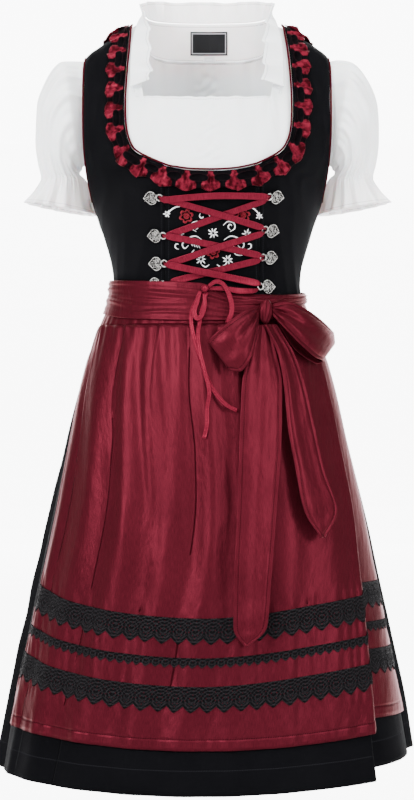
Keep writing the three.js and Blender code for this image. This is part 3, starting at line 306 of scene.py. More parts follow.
def tube(line, radius, sides, out, closed=False):
    """Points and faces of a round cord along a line. out is the direction of its first side at each point."""
    line = np.asarray(line, float)
    n = len(line)
    if closed:
        along = unit(np.roll(line, -1, 0) - np.roll(line, 1, 0))
    else:
        along = unit(np.gradient(line, axis=0))
    u = unit(out - (out * along).sum(-1, keepdims=True) * along)
    v = np.cross(along, u)
    radius = np.broadcast_to(np.asarray(radius, float), (n,))[:, None, None]
    angle = 2 * np.pi * np.arange(sides) / sides
    ring = u[:, None] * np.cos(angle)[None, :, None] + v[:, None] * np.sin(angle)[None, :, None]
    points = (line[:, None] + ring * radius).reshape(-1, 3)
    faces = []
    for i in range(n if closed else n - 1):
        j = (i + 1) % n
        for k in range(sides):
            m = (k + 1) % sides
            faces.append((i * sides + k, i * sides + m, j * sides + m, j * sides + k))
    if not closed:
        faces.append(tuple(range(sides))[::-1])
        faces.append(tuple((n - 1) * sides + k for k in range(sides)))
    return points, faces


def heap(name, parts, look, nodes=()):
    """Joins many small meshes into one piece."""
    points, faces, start = [], [], 0
    for p, f in parts:
        points.append(np.asarray(p))
        faces += [tuple(i + start for i in face) for face in f]
        start += len(p)
    points = np.concatenate(points)
    return place(name, points, faces, look, nodes)


def smooth_line(points, per=6, closed=False):
    grid = np.asarray(points, float)[None]
    return finer(grid, 1, per, closed)[0]


def bump_between(t, low, high, soft):
    """1 between low and high, falling softly to 0 outside."""
    up = np.clip((t - low) / soft + 0.5, 0, 1)
    down = np.clip((high - t) / soft + 0.5, 0, 1)
    f = np.minimum(up, down)
    return f * f * (3 - 2 * f)


def creased(turn, z, tab):
    """Depth of listed creases at places on the front, from what the camera sees of their ends."""
    total = np.zeros(np.broadcast(turn, z).shape)
    top = seen(tab["x_top"], tab["z_top"])
    low = seen(tab["x_low"], tab["z_low"])
    for i in range(len(tab["x_top"])):
        t = (z - top[1][i]) / (low[1][i] - top[1][i])
        middle = mix(top[0][i], low[0][i], t)
        arc = np.radians(turn - middle) * read(BODY, "z", "half", z) * np.maximum(np.cos(np.radians(middle)), 0.35)
        fade = bump_between(t, 0.05, 0.95, 0.3)
        total = total + tab["deep"][i] * np.exp(-((arc / tab["wide"][i]) ** 2)) * fade
    return total


def ripple(u, v, seed, size):
    """Soft uneven wrinkles, between about -1 and 1, that come out the same each time."""
    rng = np.random.default_rng(seed)
    total = np.zeros(np.broadcast(u, v).shape)
    for _ in range(9):
        a = rng.uniform(0, 2 * np.pi)
        f = rng.uniform(0.6, 1.7) / size
        shift = rng.uniform(0, 2 * np.pi)
        total = total + np.sin((u * np.cos(a) + v * np.sin(a)) * f * 2 * np.pi + shift)
    return total / 4.5


# ---------------------------------------------------------------- looks
class Look:
    """A material that is put together node by node."""

    def __init__(self, name):
        self.material = bpy.data.materials.new(name)
        self.material.use_nodes = True
        self.tree = self.material.node_tree
        self.tree.nodes.clear()
        self.surface = self.add("ShaderNodeBsdfPrincipled")
        end = self.add("ShaderNodeOutputMaterial")
        self.link(self.surface.outputs[0], end.inputs["Surface"])
        self.coords = self.add("ShaderNodeTexCoord")

    def add(self, kind, **settings):
        node = self.tree.nodes.new(kind)
        for key, value in settings.items():
            setattr(node, key, value)
        return node

    def link(self, a, b):
        self.tree.links.new(a, b)

    def put(self, node, name, value):
        if hasattr(value, "is_output"):
            self.link(value, node.inputs[name])
        else:
            node.inputs[name].default_value = value

    def maths(self, how, a, b=0.0, clamp=False):
        node = self.add("ShaderNodeMath", operation=how, use_clamp=clamp)
        self.put(node, 0, a)
        self.put(node, 1, b)
        return node.outputs[0]

    def scaled(self, vector, size):
        node = self.add("ShaderNodeMapping")
        self.link(vector, node.inputs["Vector"])
        node.inputs["Scale"].default_value = size
        return node.outputs[0]

    def noise(self, vector, scale, detail=3.0, rough=0.55):
        node = self.add("ShaderNodeTexNoise")
        self.link(vector, node.inputs["Vector"])
        node.inputs["Scale"].default_value = scale
        node.inputs["Detail"].default_value = detail
        node.inputs["Roughness"].default_value = rough
        return node.outputs["Fac"]

    def span(self, value, a, b, low=0.0, high=1.0):
        node = self.add("ShaderNodeMapRange")
        self.link(value, node.inputs["Value"])
        for key, number in (("From Min", a), ("From Max", b), ("To Min", low), ("To Max", high)):
            node.inputs[key].default_value = number
        return node.outputs[0]

    def blend(self, share, a, b, how="MIX"):
        node = self.add("ShaderNodeMix", data_type="RGBA", blend_type=how)
        self.put(node, "Factor", share)
        for key, value in ((6, a), (7, b)):
            if hasattr(value, "is_output"):
                self.link(value, node.inputs[key])
            else:
                node.inputs[key].default_value = (*value, 1)
        return node.outputs[2]

    def mark(self, name):
        return self.add("ShaderNodeAttribute", attribute_name=name, attribute_type="GEOMETRY").outputs["Fac"]

    def split(self, vector):
        node = self.add("ShaderNodeSeparateXYZ")
        self.link(vector, node.inputs[0])
        return node.outputs[0], node.outputs[1], node.outputs[2]

    def bumps(self, height, strength, distance, after=None):
        node = self.add("ShaderNodeBump")
        node.inputs["Strength"].default_value = strength
        node.inputs["Distance"].default_value = distance
        self.link(height, node.inputs["Height"])
        if after is not None:
            self.link(after, node.inputs["Normal"])
        return node.outputs[0]

    def finish(self, colour=None, rough=None, normal=None, **plain):
        if colour is not None:
            if hasattr(colour, "is_output"):
                self.link(colour, self.surface.inputs["Base Color"])
            else:
                self.surface.inputs["Base Color"].default_value = (*colour, 1)
        if rough is not None:
            self.put(self.surface, "Roughness", rough)
        if normal is not None:
            self.link(normal, self.surface.inputs["Normal"])
        for key, value in plain.items():
            socket = self.surface.inputs[key.replace("_", " ")]
            socket.default_value = (*value, 1) if isinstance(value, tuple) else value
        return self.material


def woven(name, dark, light, thread, rough, bump=0.25, stitch=None, **plain):
    """Plain weave in the cloth's own map, whose unit is a millimetre."""
    look = Look(name)
    u, v, _ = look.split(look.coords.outputs["UV"])
    warp = look.maths("SINE", look.maths("MULTIPLY", u, 2 * math.pi / thread))
    weft = look.maths("SINE", look.maths("MULTIPLY", v, 2 * math.pi / thread))
    threads = look.maths("MULTIPLY", warp, weft)
    cloudy = look.noise(look.coords.outputs["Object"], 9, 4)
    slub = look.noise(look.scaled(look.coords.outputs["UV"], (0.25, 2.2, 1)), 1.0, 2)
    shade = look.span(cloudy, 0.3, 0.7)
    colour = look.blend(shade, dark, light)
    colour = look.blend(look.span(slub, 0.45, 0.75, 0, 0.22), colour, tuple(min(1, c * 1.5) for c in light))
    height = look.maths("ADD", look.maths("MULTIPLY", threads, 0.5), look.maths("MULTIPLY", slub, 1.2))
    normal = look.bumps(height, bump, 0.0002)
    if stitch:
        line, tint = stitch
        near = look.maths("ABSOLUTE", look.maths("SUBTRACT", look.mark("edge"), line))
        on = look.span(near, 0.35, 0.75, 1, 0)
        dash = look.maths("SINE", look.maths("MULTIPLY", look.maths("ADD", u, v), 2 * math.pi / 3.2))
        dash = look.span(dash, -0.55, -0.2)
        sewn = look.maths("MULTIPLY", on, dash)
        colour = look.blend(sewn, colour, tint)
        wide = look.span(near, 0.2, 2.2, 0, 1)
        normal = look.bumps(wide, 0.5, 0.0005, normal)
    return look.finish(colour, rough, normal, **plain)


def satin(name, dark, light, rough, stitch=None, **plain):
    """Satin: long floats that run along the cloth, with a soft sheen."""
    look = Look(name)
    u, v, _ = look.split(look.coords.outputs["UV"])
    floats = look.noise(look.scaled(look.coords.outputs["UV"], (3.2, 0.12, 1)), 1.0, 3, 0.6)
    cross = look.noise(look.scaled(look.coords.outputs["UV"], (0.1, 2.0, 1)), 1.0, 2)
    cloudy = look.noise(look.coords.outputs["Object"], 14, 3)
    colour = look.blend(look.span(floats, 0.32, 0.68), dark, light)
    colour = look.blend(look.span(cloudy, 0.3, 0.75, 0, 0.35), colour, tuple(c * 0.72 for c in dark))
    twill = look.maths("SINE", look.maths("MULTIPLY", look.maths("ADD", u, look.maths("MULTIPLY", v, 0.6)), 9.0))
    height = look.maths("ADD", look.maths("MULTIPLY", twill, 0.12), look.maths("ADD", floats, cross))
    normal = look.bumps(height, 0.14, 0.0004)
    wrinkle = look.noise(look.scaled(look.coords.outputs["UV"], (0.06, 0.022, 1)), 1.0, 4, 0.55)
    normal = look.bumps(wrinkle, 0.35, 0.004, normal)
    if stitch:
        near = look.maths("ABSOLUTE", look.maths("SUBTRACT", look.mark("edge"), stitch))
        on = look.span(near, 0.3, 0.8, 1, 0)
        dash = look.span(look.maths("SINE", look.maths("MULTIPLY", look.maths("ADD", u, v), 2.1)), -0.5, -0.1)
        colour = look.blend(look.maths("MULTIPLY", on, dash), colour, tuple(c * 0.25 for c in dark))
        normal = look.bumps(look.span(near, 0.2, 2.6), 0.6, 0.0007, normal)
    sheen = look.span(floats, 0.3, 0.7, rough - 0.05, rough + 0.08)
    return look.finish(colour, sheen, normal, **plain)


def silver(name, dark, light, low, high, rough):
    """Cast silver, bright where it is raised and darkened in the deep places."""
    look = Look(name)
    grime = look.noise(look.coords.outputs["Object"], 420, 3, 0.6)
    colour = look.blend(look.span(grime, low, high), dark, light)
    normal = look.bumps(look.noise(look.coords.outputs["Object"], 900, 2), 0.25, 0.0002)
    return look.finish(colour, look.span(grime, 0.3, 0.7, rough, rough + 0.18), normal, Metallic=1.0)


BLACK_HEMMED = woven(
    "black_cotton_hemmed", (0.0012, 0.0012, 0.0016), (0.0024, 0.0024, 0.0030), 0.75, 0.82,
    stitch=(32, (0.008, 0.008, 0.0095)),
    Sheen_Weight=0.01, Sheen_Roughness=0.5, Sheen_Tint=(0.55, 0.55, 0.62), Specular_IOR_Level=0.04, IOR=1.3,
)
APRON_SATIN = satin(
    "apron_satin", (0.030, 0.0030, 0.0056), (0.070, 0.0068, 0.0130), 0.36, stitch=14,
    Metallic=0.5, Specular_IOR_Level=0.15, Specular_Tint=(0.55, 0.16, 0.22), IOR=1.3,
)
BOW_SATIN = satin(
    "bow_satin", (0.032, 0.0031, 0.0058), (0.074, 0.0072, 0.0138), 0.34, stitch=5,
    Metallic=0.5, Specular_IOR_Level=0.15, Specular_Tint=(0.55, 0.16, 0.22), IOR=1.3,
)
LACING_SATIN = satin(
    "lacing_satin", (0.060, 0.0042, 0.0090), (0.170, 0.0130, 0.0290), 0.34,
    Metallic=0.45, Specular_IOR_Level=0.15, Specular_Tint=(0.6, 0.18, 0.24), IOR=1.3,
)
PIPING_SATIN = satin(
    "piping_satin", (0.030, 0.0020, 0.0042), (0.060, 0.0040, 0.0090), 0.5,
    Metallic=0.3, Specular_IOR_Level=0.06, Specular_Tint=(0.5, 0.08, 0.13), IOR=1.3,
)


def lace_look():
    """Black lace: matt thread, with a painted highlight that colours fine raised lines lighter, as if they catch the
    light.
    """
    look = Look("lace_thread")
    u, v, _ = look.split(look.coords.outputs["UV"])
    grain = look.noise(look.scaled(look.coords.outputs["UV"], (1.6, 1.6, 1)), 1.0, 3, 0.6)
    threads = look.maths(
        "MULTIPLY",
        look.maths("SINE", look.maths("MULTIPLY", u, 7.5)),
        look.maths("SINE", look.maths("MULTIPLY", v, 7.5)),
    )
    raised = look.span(look.maths("ADD", look.mark("raised"), look.maths("MULTIPLY", grain, 0.5)), 0.78, 1.05)
    colour = look.blend(look.span(grain, 0.35, 0.65), (0.0010, 0.0009, 0.0012), (0.0026, 0.0023, 0.0028))
    # Painted highlight: the thread is coloured lighter where the raised mark is high.
    colour = look.blend(raised, colour, (0.0125, 0.0110, 0.0125))
    normal = look.bumps(look.maths("ADD", threads, look.maths("MULTIPLY", grain, 2.0)), 0.8, 0.0003)
    return look.finish(colour, 0.7, normal, Specular_IOR_Level=0.1, IOR=1.3)


LACE_THREAD = lace_look()
WHITE_HEMMED = woven(
    "white_cotton_hemmed", (0.90, 0.895, 0.91), (0.965, 0.96, 0.97), 0.55, 0.88, 0.3,
    stitch=(4, (0.52, 0.51, 0.54)),
    Sheen_Weight=0.15, Sheen_Roughness=0.5, Specular_IOR_Level=0.2, Subsurface_Weight=0.12, Subsurface_Scale=0.004,
)
WHITE_THREAD = woven(
    "white_thread", (0.66, 0.66, 0.68), (0.86, 0.86, 0.88), 0.5, 0.55, 0.8,
    Sheen_Weight=0.2, Specular_IOR_Level=0.45,
)
RED_THREAD = woven(
    "red_thread", (0.075, 0.0010, 0.0045), (0.150, 0.0030, 0.0110), 0.5, 0.5, 0.8,
    Sheen_Weight=0.03, Specular_IOR_Level=0.4, Specular_Tint=(1.0, 0.3, 0.35),
)
SILVER_RAISED = silver("silver_raised", (0.09, 0.088, 0.085), (0.46, 0.45, 0.43), 0.36, 0.56, 0.2)
SILVER_DEEP = silver("silver_deep", (0.0025, 0.0025, 0.0025), (0.016, 0.0155, 0.015), 0.4, 0.75, 0.5)


def ruche_look():
    """Ribbon with a black middle and red satin wings, told apart by the mark on its points."""
    look = Look("ruche_ribbon")
    red = look.span(look.mark("red"), -0.35, 0.35)
    rim = look.span(look.maths("ABSOLUTE", look.mark("rim")), 0.08, 0.26, 1, 0)
    threads = look.noise(look.scaled(look.coords.outputs["UV"], (0.2, 2.6, 1)), 1.0, 2)
    cloudy = look.noise(look.coords.outputs["Object"], 120, 3)
    satin_red = look.blend(look.span(cloudy, 0.40, 0.60), (0.018, 0.0014, 0.0026), (0.115, 0.0085, 0.0180))
    black = look.blend(look.span(cloudy, 0.3, 0.7), (0.0010, 0.0010, 0.0013), (0.0026, 0.0025, 0.0030))
    colour = look.blend(red, black, satin_red)
    colour = look.blend(look.maths("MULTIPLY", rim, 0.75), colour, (0.050, 0.017, 0.023))
    normal = look.bumps(threads, 0.3, 0.0004)
    return look.finish(
        colour, look.span(red, 0, 1, 0.6, 0.36), normal,
        Metallic=0.3, Specular_IOR_Level=0.05, Specular_Tint=(0.6, 0.2, 0.25), IOR=1.3,
    )


RUCHE_RIBBON = ruche_look()


def label_look(name, cloth_colour, border, x_mid, x_half, z_mid, z_half):
    """A plain woven patch with a border line, on Object coordinates."""
    look = Look(name)
    x, _, z = look.split(look.coords.outputs["Object"])
    dx = look.maths("SUBTRACT", x_half, look.maths("ABSOLUTE", look.maths("SUBTRACT", x, x_mid)))
    dz = look.maths("SUBTRACT", z_half, look.maths("ABSOLUTE", look.maths("SUBTRACT", z, z_mid)))
    inside = look.maths("MINIMUM", dx, dz)
    line = look.span(look.maths("ABSOLUTE", look.maths("SUBTRACT", inside, 0.0024)), 0.0004, 0.0009, 1, 0)
    threads = look.maths("SINE", look.maths("MULTIPLY", z, 2 * math.pi / 0.0006))
    colour = look.blend(line, cloth_colour, border)
    return look.finish(colour, 0.55, look.bumps(threads, 0.3, 0.0002), Sheen_Weight=0.02, Specular_IOR_Level=0.15)


# ---------------------------------------------------------------- camera
# The picture is 800 pixels tall, with 1.3 mm of garment to a pixel.
TALL_PIXELS, PIXEL = 800, 1.3
camera = bpy.data.cameras.new("camera")
camera.sensor_fit = "VERTICAL"
camera.sensor_height = 24
camera.lens = camera.sensor_height * EYE_FAR / (TALL_PIXELS * PIXEL)
camera.clip_end = 100
eye = bpy.data.objects.new("camera", camera)
eye.location = (0, -EYE_FAR * MM, EYE_HEIGHT * MM)
eye.rotation_euler = (math.radians(90), 0, 0)
bpy.context.scene.collection.objects.link(eye)
bpy.context.scene.camera = eye

# ---------------------------------------------------------------- edges of the bodice
NECK_MID = 2
NECK = table(
    "s half z",
    (0, 101, -2),
    (1, 103, -16),
    (2, 106, -40),
    (3, 109, -72),
    (4, 110.5, -105),
    (5, 109.5, -132),
    (6, 104, -154),
    (7, 93, -168),
    (8, 74, -179),
    (9, 50, -186),
    (10, 25, -190),
    (11, 0, -191),
)
ARMHOLE = table(
    "s half z",
    (0, 157, -43),
    (1, 158.5, -56),
    (2, 158.8, -78),
    (3, 158.8, -104),
    (4, 158.8, -134),
    (5, 158.5, -158),
    (6, 157.4, -180),
    (7, 155, -204),
    (8, 150.9, -224),
)
ARMHOLE_FOOT = -236
PRINCESS = {-1: -55, 1: 69}
SEAM_ROWS = np.array([0, 0.12, 0.3, 0.47, 0.66, 0.86, 1])
NECK_ROWS = [0, 0.3, 0.8, 1.5, 2.5, 3.7, 5, 6, 7]
SIDE_SEAM_ROWS = [-236, -252, -272, -296, -318, -341, WAIST_Z]
SEAM_TRIM = 0.03
CENTRE_ACROSS = np.linspace(0, 1, 9)


def neck_spot(s, sign):
    middle = NECK_MID * min(1, s / 2)
    turn, z = seen(middle + sign * read(NECK, "s", "half", s), read(NECK, "s", "z", s))
    return float(turn), float(z)


def arm_spot(s, sign):
    z = float(read(ARMHOLE, "s", "z", s))
    reach = read(BODY, "z", "half", z)
    return sign * math.degrees(math.asin(min(read(ARMHOLE, "s", "half", s) / reach, 1))), z


def princess(sign, down):
    top = neck_spot(8.23 if sign > 0 else 8.71, sign)
    z = mix(top[1], WAIST_Z, down)
    if down == 0:
        return top
    return float(seen(PRINCESS[sign], z + (z - EYE_HEIGHT) * 0.03)[0]), z


def centre_top(t):
    x = mix(PRINCESS[-1], PRINCESS[1], t)
    s = 11
    while read(NECK, "s", "half", s) < abs(x - NECK_MID) and s > 8:
        s -= 0.02
    left, right = princess(-1, 0), princess(1, 0)
    turn = mix(left[0], right[0], t)
    if t in (0, 1):
        return turn, (left if t == 0 else right)[1]
    return turn, neck_spot(s, 1 if x > NECK_MID else -1)[1]


BACK_NECK = table(
    "t turn z", (0, 180, -62), (0.2, 158, -60), (0.36, 134, -46), (0.47, 115, -24), (0.56, 91, -2), (1, 91, -43)
)
BACK_ARM = table(
    "t half z", (0, 157, -43), (0.12, 158.5, -62), (0.3, 158.8, -110), (0.45, 158.8, -150), (0.58, 157.5, -184),
    (0.7, 151.5, -216),
)
BACK_HALF = [0.1, 0.2, 0.28, 0.36, 0.42, 0.47, 0.515, 0.56, 0.7, 0.85, 1]
BACK_DOWN = [0, 0.07, 0.16, 0.28, 0.42, 0.58, 0.7, 0.76, 0.86, 0.935, 1]


def back_spot(down, across):
    side = abs(across)
    shoulder = float(read(BACK_NECK, "t", "turn", side)), float(read(BACK_NECK, "t", "z", side))
    edge = 90.2, mix(ARMHOLE_FOOT, WAIST_Z, (down - 0.76) / 0.24)
    if down < 0.76:
        z = float(read(BACK_ARM, "t", "z", down))
        reach = read(BODY, "z", "half", z)
        edge = 180 - math.degrees(math.asin(min(1, read(BACK_ARM, "t", "half", down) / reach))), z
    if down == 0:
        edge = 91, -43
    flat = mix(180, edge[0], side), mix(mix(-62, WAIST_Z, down), edge[1], side)
    first = mix(180, 91, side), mix(-62, -43, side)
    fade = max(0, 1 - down / 0.62) ** 1.5
    turn = flat[0] + (shoulder[0] - first[0]) * fade
    return (360 - turn if across < 0 else turn), flat[1] + (shoulder[1] - first[1]) * fade


def neck_round():
    """The neck edge all the way round, as places on the figure."""
    across = [t for t in BACK_HALF if t < 0.56]
    back = [(float(read(BACK_NECK, "t", "turn", t)), float(read(BACK_NECK, "t", "z", t))) for t in across]
    right = [neck_spot(s, 1) for s in NECK_ROWS[1:]]
    left = [neck_spot(s, -1) for s in NECK_ROWS[1:]]
    front = [centre_top(t) for t in CENTRE_ACROSS[::-1]]
    over = [(-turn, z) for turn, z in back[::-1]]
    return [(90, -2), *right, *front, *left[::-1], (-90, -2), *over, (180, -62), *back]


def arm_round(sign):
    front = [arm_spot(s, sign) for s in range(1, 9)]
    back = [back_spot(down, 1) for down in BACK_DOWN[::-1] if 0 < down < 0.76]
    return [(sign * 90, -43), *front, (sign * 90, ARMHOLE_FOOT + 2), *[(sign * turn, z) for turn, z in back]]


def edge_line(spots, per):
    """Points, outward directions and directions away from the opening, along a closed edge."""
    turns = np.unwrap([s[0] for s in spots], period=360)
    zs = np.array([s[1] for s in spots])
    line = smooth_line(skin(turns, zs), per, True)
    normal = unit(smooth_line(square_to(turns, zs), per, True))
    along = unit(np.roll(line, -1, 0) - np.roll(line, 1, 0))
    return line, normal, along


def outward(line, normal, along, centre):
    away = unit(np.cross(normal, along))
    turned = ((line - np.asarray(centre, float)) * away).sum(-1, keepdims=True) < 0
    return np.where(turned, -away, away)


# ---------------------------------------------------------------- bodice
def bodice_wall(name, spots, wrinkle=0.0, seed=1, grooves=(), per=(7, 8), nodes=()):
    """A lined panel. spots is rows of (turn, z)."""
    spots = np.array(spots, float)
    grid = skin(spots[..., 0], spots[..., 1], 0)
    fine = finer(grid, *per)
    share = np.linspace(0, 1, fine.shape[1])[None, :]
    u, v = lengths(fine, 1), lengths(fine, 0)
    height = -np.abs(ripple(u, v * 0.6, seed, 70)) * wrinkle
    for at, deep in grooves:
        height = height - deep * np.exp(-(((share - at) * u[:, -1:]) / 1.6) ** 2)
    height = height - 0.5 * np.exp(-(np.minimum(u, u[:, -1:] - u) / 1.2) ** 2)
    normal = squares(fine)
    normal = np.where((normal * (fine * [1, 1, 0])).sum(-1, keepdims=True) < 0, -normal, normal)
    outer = fine + normal * height[..., None]
    edge = np.minimum(u, u[:, -1:] - u)
    inner = fine - normal * (LINED - 0.1)
    return shell(name, outer, inner, BODICE_COTTON, nodes or (name,), marks={"edge": edge})


BODICE_COTTON = woven(
    "bodice_cotton", (0.0013, 0.0013, 0.0017), (0.0026, 0.0026, 0.0032), 0.75, 0.8,
    stitch=(5, (0.007, 0.007, 0.0085)),
    Sheen_Weight=0.01, Sheen_Roughness=0.5, Sheen_Tint=(0.55, 0.55, 0.62), Specular_IOR_Level=0.04, IOR=1.3,
)
for side_name, sign in (("left", -1), ("right", 1)):
    rows = []
    for i, s in enumerate(NECK_ROWS):
        inner = (sign * 90, -2) if i == 0 else neck_spot(s, sign)
        outer = (sign * 90, -43) if i == 0 else arm_spot(i, sign)
        rows.append((inner, outer))
    for i, down in enumerate(SEAM_ROWS):
        rows.append((princess(sign, down), (sign * 90, SIDE_SEAM_ROWS[i])))
    spots = []
    for r, (inner, outer) in enumerate(rows):
        trim = sign * 0.6 if r == 0 else 0
        near, far = inner[0] + sign * SEAM_TRIM, outer[0] - sign * SEAM_TRIM
        turns = [mix(near, far, t) - trim for t in np.linspace(0, 1, 7)]
        zs = [mix(inner[1], outer[1], t) for t in np.linspace(0, 1, 7)]
        spots.append(list(zip(turns, zs)))
    bodice_wall(f"bodice_front_{side_name}", spots, 1.1, 3 + sign)
spots = []
for down in SEAM_ROWS:
    left, right = princess(-1, down)[0] + SEAM_TRIM, princess(1, down)[0] - SEAM_TRIM
    spots.append([(mix(left, right, t), mix(centre_top(t)[1], WAIST_Z, down)) for t in CENTRE_ACROSS])
bodice_wall("bodice_front_centre", spots, 0.7, 9)
across = [-t for t in BACK_HALF[::-1]] + [0] + BACK_HALF
spots = [[back_spot(down, t) for t in across] for down in BACK_DOWN]
BACK_SEAMS = ((0.3, 0.9), (0.7, 0.9), (0.5, 0.6))
bodice_wall("bodice_back", spots, 1.4, 12, grooves=BACK_SEAMS, per=(7, 6))

# ---------------------------------------------------------------- piping and ruche
PIPE_RADIUS = 1.3
PIPE_OFF = 0.9
NECK_CENTRE = (NECK_MID, 0, -60)


def piping(name, spots, centre):
    line, normal, along = edge_line(spots, 6)
    away = outward(line, normal, along, centre)
    line = line - away * (PIPE_OFF + PIPE_RADIUS) - normal * 0.9
    count, sides = len(line), 12
    points, faces = tube(line, PIPE_RADIUS, sides, normal, True)
    run = np.arange(count + 1) * 1.6
    uv = []
    for i in range(count):
        for k in range(sides):
            twist = k / sides * 8
            here, on = run[i] + twist, run[i + 1] + twist
            uv += [(here, k), (here + 0.66, k + 1), (on + 0.66, k + 1), (on, k)]
    return place(name, points, faces, PIPING_SATIN, (name,), uv=uv)


piping("neck_piping", neck_round(), NECK_CENTRE)
for side_name, sign in (("left", -1), ("right", 1)):
    piping(f"armhole_piping_{side_name}", arm_round(sign), (sign * 158, 0, -125))

RUCHE = {"pleats": 36, "start": 1.6, "wide": 24, "along": 28, "across": 22}


def neck_ruche():
    """Folded ribbon round the neck: black eyes near the edge and red wings that fan out between them."""
    line, normal, along = edge_line(neck_round(), 8)
    step = np.linalg.norm(np.roll(line, -1, 0) - line, axis=-1)
    run = np.concatenate([[0], np.cumsum(step)])
    count = RUCHE["pleats"] * RUCHE["along"]
    at = np.arange(count) / count * run[-1]
    closed = [np.concatenate([a, a[:1]]) for a in (line, normal)]
    line = np.stack([np.interp(at, run, closed[0][:, k]) for k in range(3)], -1)
    normal = unit(np.stack([np.interp(at, run, closed[1][:, k]) for k in range(3)], -1))
    along = unit(np.roll(line, -2, 0) - np.roll(line, 2, 0))
    away = outward(line, normal, along, NECK_CENTRE)
    s = (np.arange(count) / RUCHE["along"])[None, :]
    phase = s - np.floor(s) - 0.5
    pleat = np.floor(s)
    w = np.linspace(0, 1, RUCHE["across"])[:, None]
    uneven = 0.06 * np.sin(pleat * 2.4) + 0.04 * np.sin(pleat * 5.1)
    # The eye lies round phase 0; the wings meet round phase +-0.5.
    eye = 1 - ((phase / (0.37 + uneven)) ** 2 + ((w - 0.33) / 0.24) ** 2)
    fan = 0.5 - np.abs(phase)
    reach = 0.10 + 0.36 * np.clip((w - 0.12) / 0.75, 0, 1) ** 0.8
    wing = (reach - fan) / 0.06
    red = np.minimum(wing, -eye * 3)
    notch = np.clip(1 - np.abs(phase) / (0.10 + 0.05 * w), 0, 1) * (w > 0.6)
    red = np.minimum(red, 1 - 4 * notch)
    rim = eye / 0.10
    fold = np.abs(fan) / np.maximum(reach, 0.05)
    wings_up = np.clip(1 - np.abs(fold - 0.55) / 0.5, 0, 1) * np.clip((w - 0.1) / 0.5, 0, 1)
    pinch = np.exp(-((fan / 0.05) ** 2)) * bump_between(w, 0.3, 1.1, 0.2)
    lips = np.exp(-((eye / 0.28) ** 2))
    height = 1.2 + 2.4 * wings_up * (1 + 2 * uneven) - 1.5 * pinch + 1.3 * lips - 0.7 * np.clip(eye, 0, 1)
    height = height * bump_between(w, -0.3, 1.02, 0.16)
    edge_out = RUCHE["wide"] + 2.2 * np.cos(2 * np.pi * (phase + 0.5)) + 1.2 * np.sin(pleat * 3.7)
    over = RUCHE["start"] + (edge_out - RUCHE["start"]) * w + 0.8 * (1 - w) * np.cos(2 * np.pi * phase)
    middle = line[None] + away[None] * over[..., None] + normal[None] * (0.7 + height)[..., None]
    inner = line[None] + away[None] * over[..., None] + normal[None] * (0.35 + height * 0.55)[..., None]
    marks = {"red": red, "rim": rim}
    return shell("neck_ruche", middle, inner, RUCHE_RIBBON, ("neck_ruche",), True, marks=marks)


neck_ruche()

# ---------------------------------------------------------------- skirt and apron
FOLD_TURN = table("z turn", (-990, 51.8), (-900, 52.2), (-800, 54.6), (-700, 58.6), (-600, 63.4), (-359, 65))
FOLD = {"first": 2.5, "last": 11, "reach": 26, "back": 8}
FOLDS = table(
    "share top low",
    (0, 0, 1), (0.09, 2.4, 4), (0.25, 2.8, 6), (0.39, 2.8, 7), (0.5, 2.4, 6), (0.6, 2.2, 7), (0.71, 2.4, 5),
    (0.82, 2.4, 4), (0.98, 1.4, 2),
)
APRON_LEFT = table("v turn", (0, -86), (0.15, -84), (0.3, -77), (0.5, -74), (0.75, -76), (1, -81))


def front_wave(share, down):
    i = np.clip(np.searchsorted(FOLDS["share"], share, side="right") - 1, 0, len(FOLDS["share"]) - 2)
    a, b = FOLDS["share"][i], FOLDS["share"][i + 1]
    t = np.clip((share - a) / (b - a), 0, 1)
    step = np.clip((share - a) / 0.012, 0, 1)
    crisp = FOLDS["top"][i] * (1 - t) * step
    crisp = crisp * np.maximum(0, 1 - down / 0.35)
    low = mix(FOLDS["low"][i], FOLDS["low"][i + 1], t)
    soft = low * np.sin(np.pi * t) ** 2 * np.sin(np.pi / 2 * np.minimum(1, down * 1.3))
    return crisp + soft


def drape(column, z, down, edge, far, middle, share=1.0):
    """One place of the draped front for columns from 0 to 1, 2 and beyond."""
    fold = read(FOLD_TURN, "z", "turn", z)
    degrees = 180 / (np.pi * read(BODY, "z", "half", z))
    high = mix(FOLD["first"], FOLD["last"], down) * share
    crest = 1.6 * middle
    flat = np.minimum(1, high / 8)
    root = mix(crest + 3, 3 * middle - FOLD["back"], flat)
    if column <= 1:
        turn = mix(edge, fold, column) + column * crest * degrees
        rise = np.maximum(0, 1 - (1 - column) * (fold - edge) / FOLD["reach"])
        return turn, middle + front_wave(column, down) * share + high * rise**1.6
    if column <= 2.0001:
        return fold + root * degrees, middle + 0.8 * flat
    if column <= 2.5:
        t = (column - 2) / 0.5
        return mix(fold + root * degrees, fold + (root + 14) * degrees, t), middle + 0.8 * flat * (1 - t)
    return mix(fold + (root + 14) * degrees, far, (column - 2.5) / 1.5), middle + 0.0 * z


def draped_grid(rows, columns, spot_at, extra):
    """The middle of a draped layer. Between columns 1 and 2 it rolls over the edge of the large fold."""
    lines, turns, zs = [], [], []

    def put(column):
        turn, z, out = spot_at(rows, column)
        return skin(turn, z, out + extra(turn, z, rows)), turn, z

    roll = 10
    for column in columns:
        if 1 < column < 2:
            continue
        if column == 2:
            a, turn_a, z_a = put(1.0)
            b, turn_b, z_b = put(2.0)
            gap = np.linalg.norm(b - a, axis=-1, keepdims=True)
            side = square_to(turn_a + 60, z_a)
            for k in range(1, roll):
                t = k / roll
                lines.append(mix(a, b, t) + side * gap * 0.32 * math.sin(math.pi * t))
                turns.append(mix(turn_a, turn_b, t))
                zs.append(mix(z_a, z_b, t))
            point, turn, z = b, turn_b, z_b
        else:
            point, turn, z = put(column)
        lines.append(point)
        turns.append(turn)
        zs.append(z)
    return np.stack(lines, 1), np.stack(turns, 1), np.stack(zs, 1)


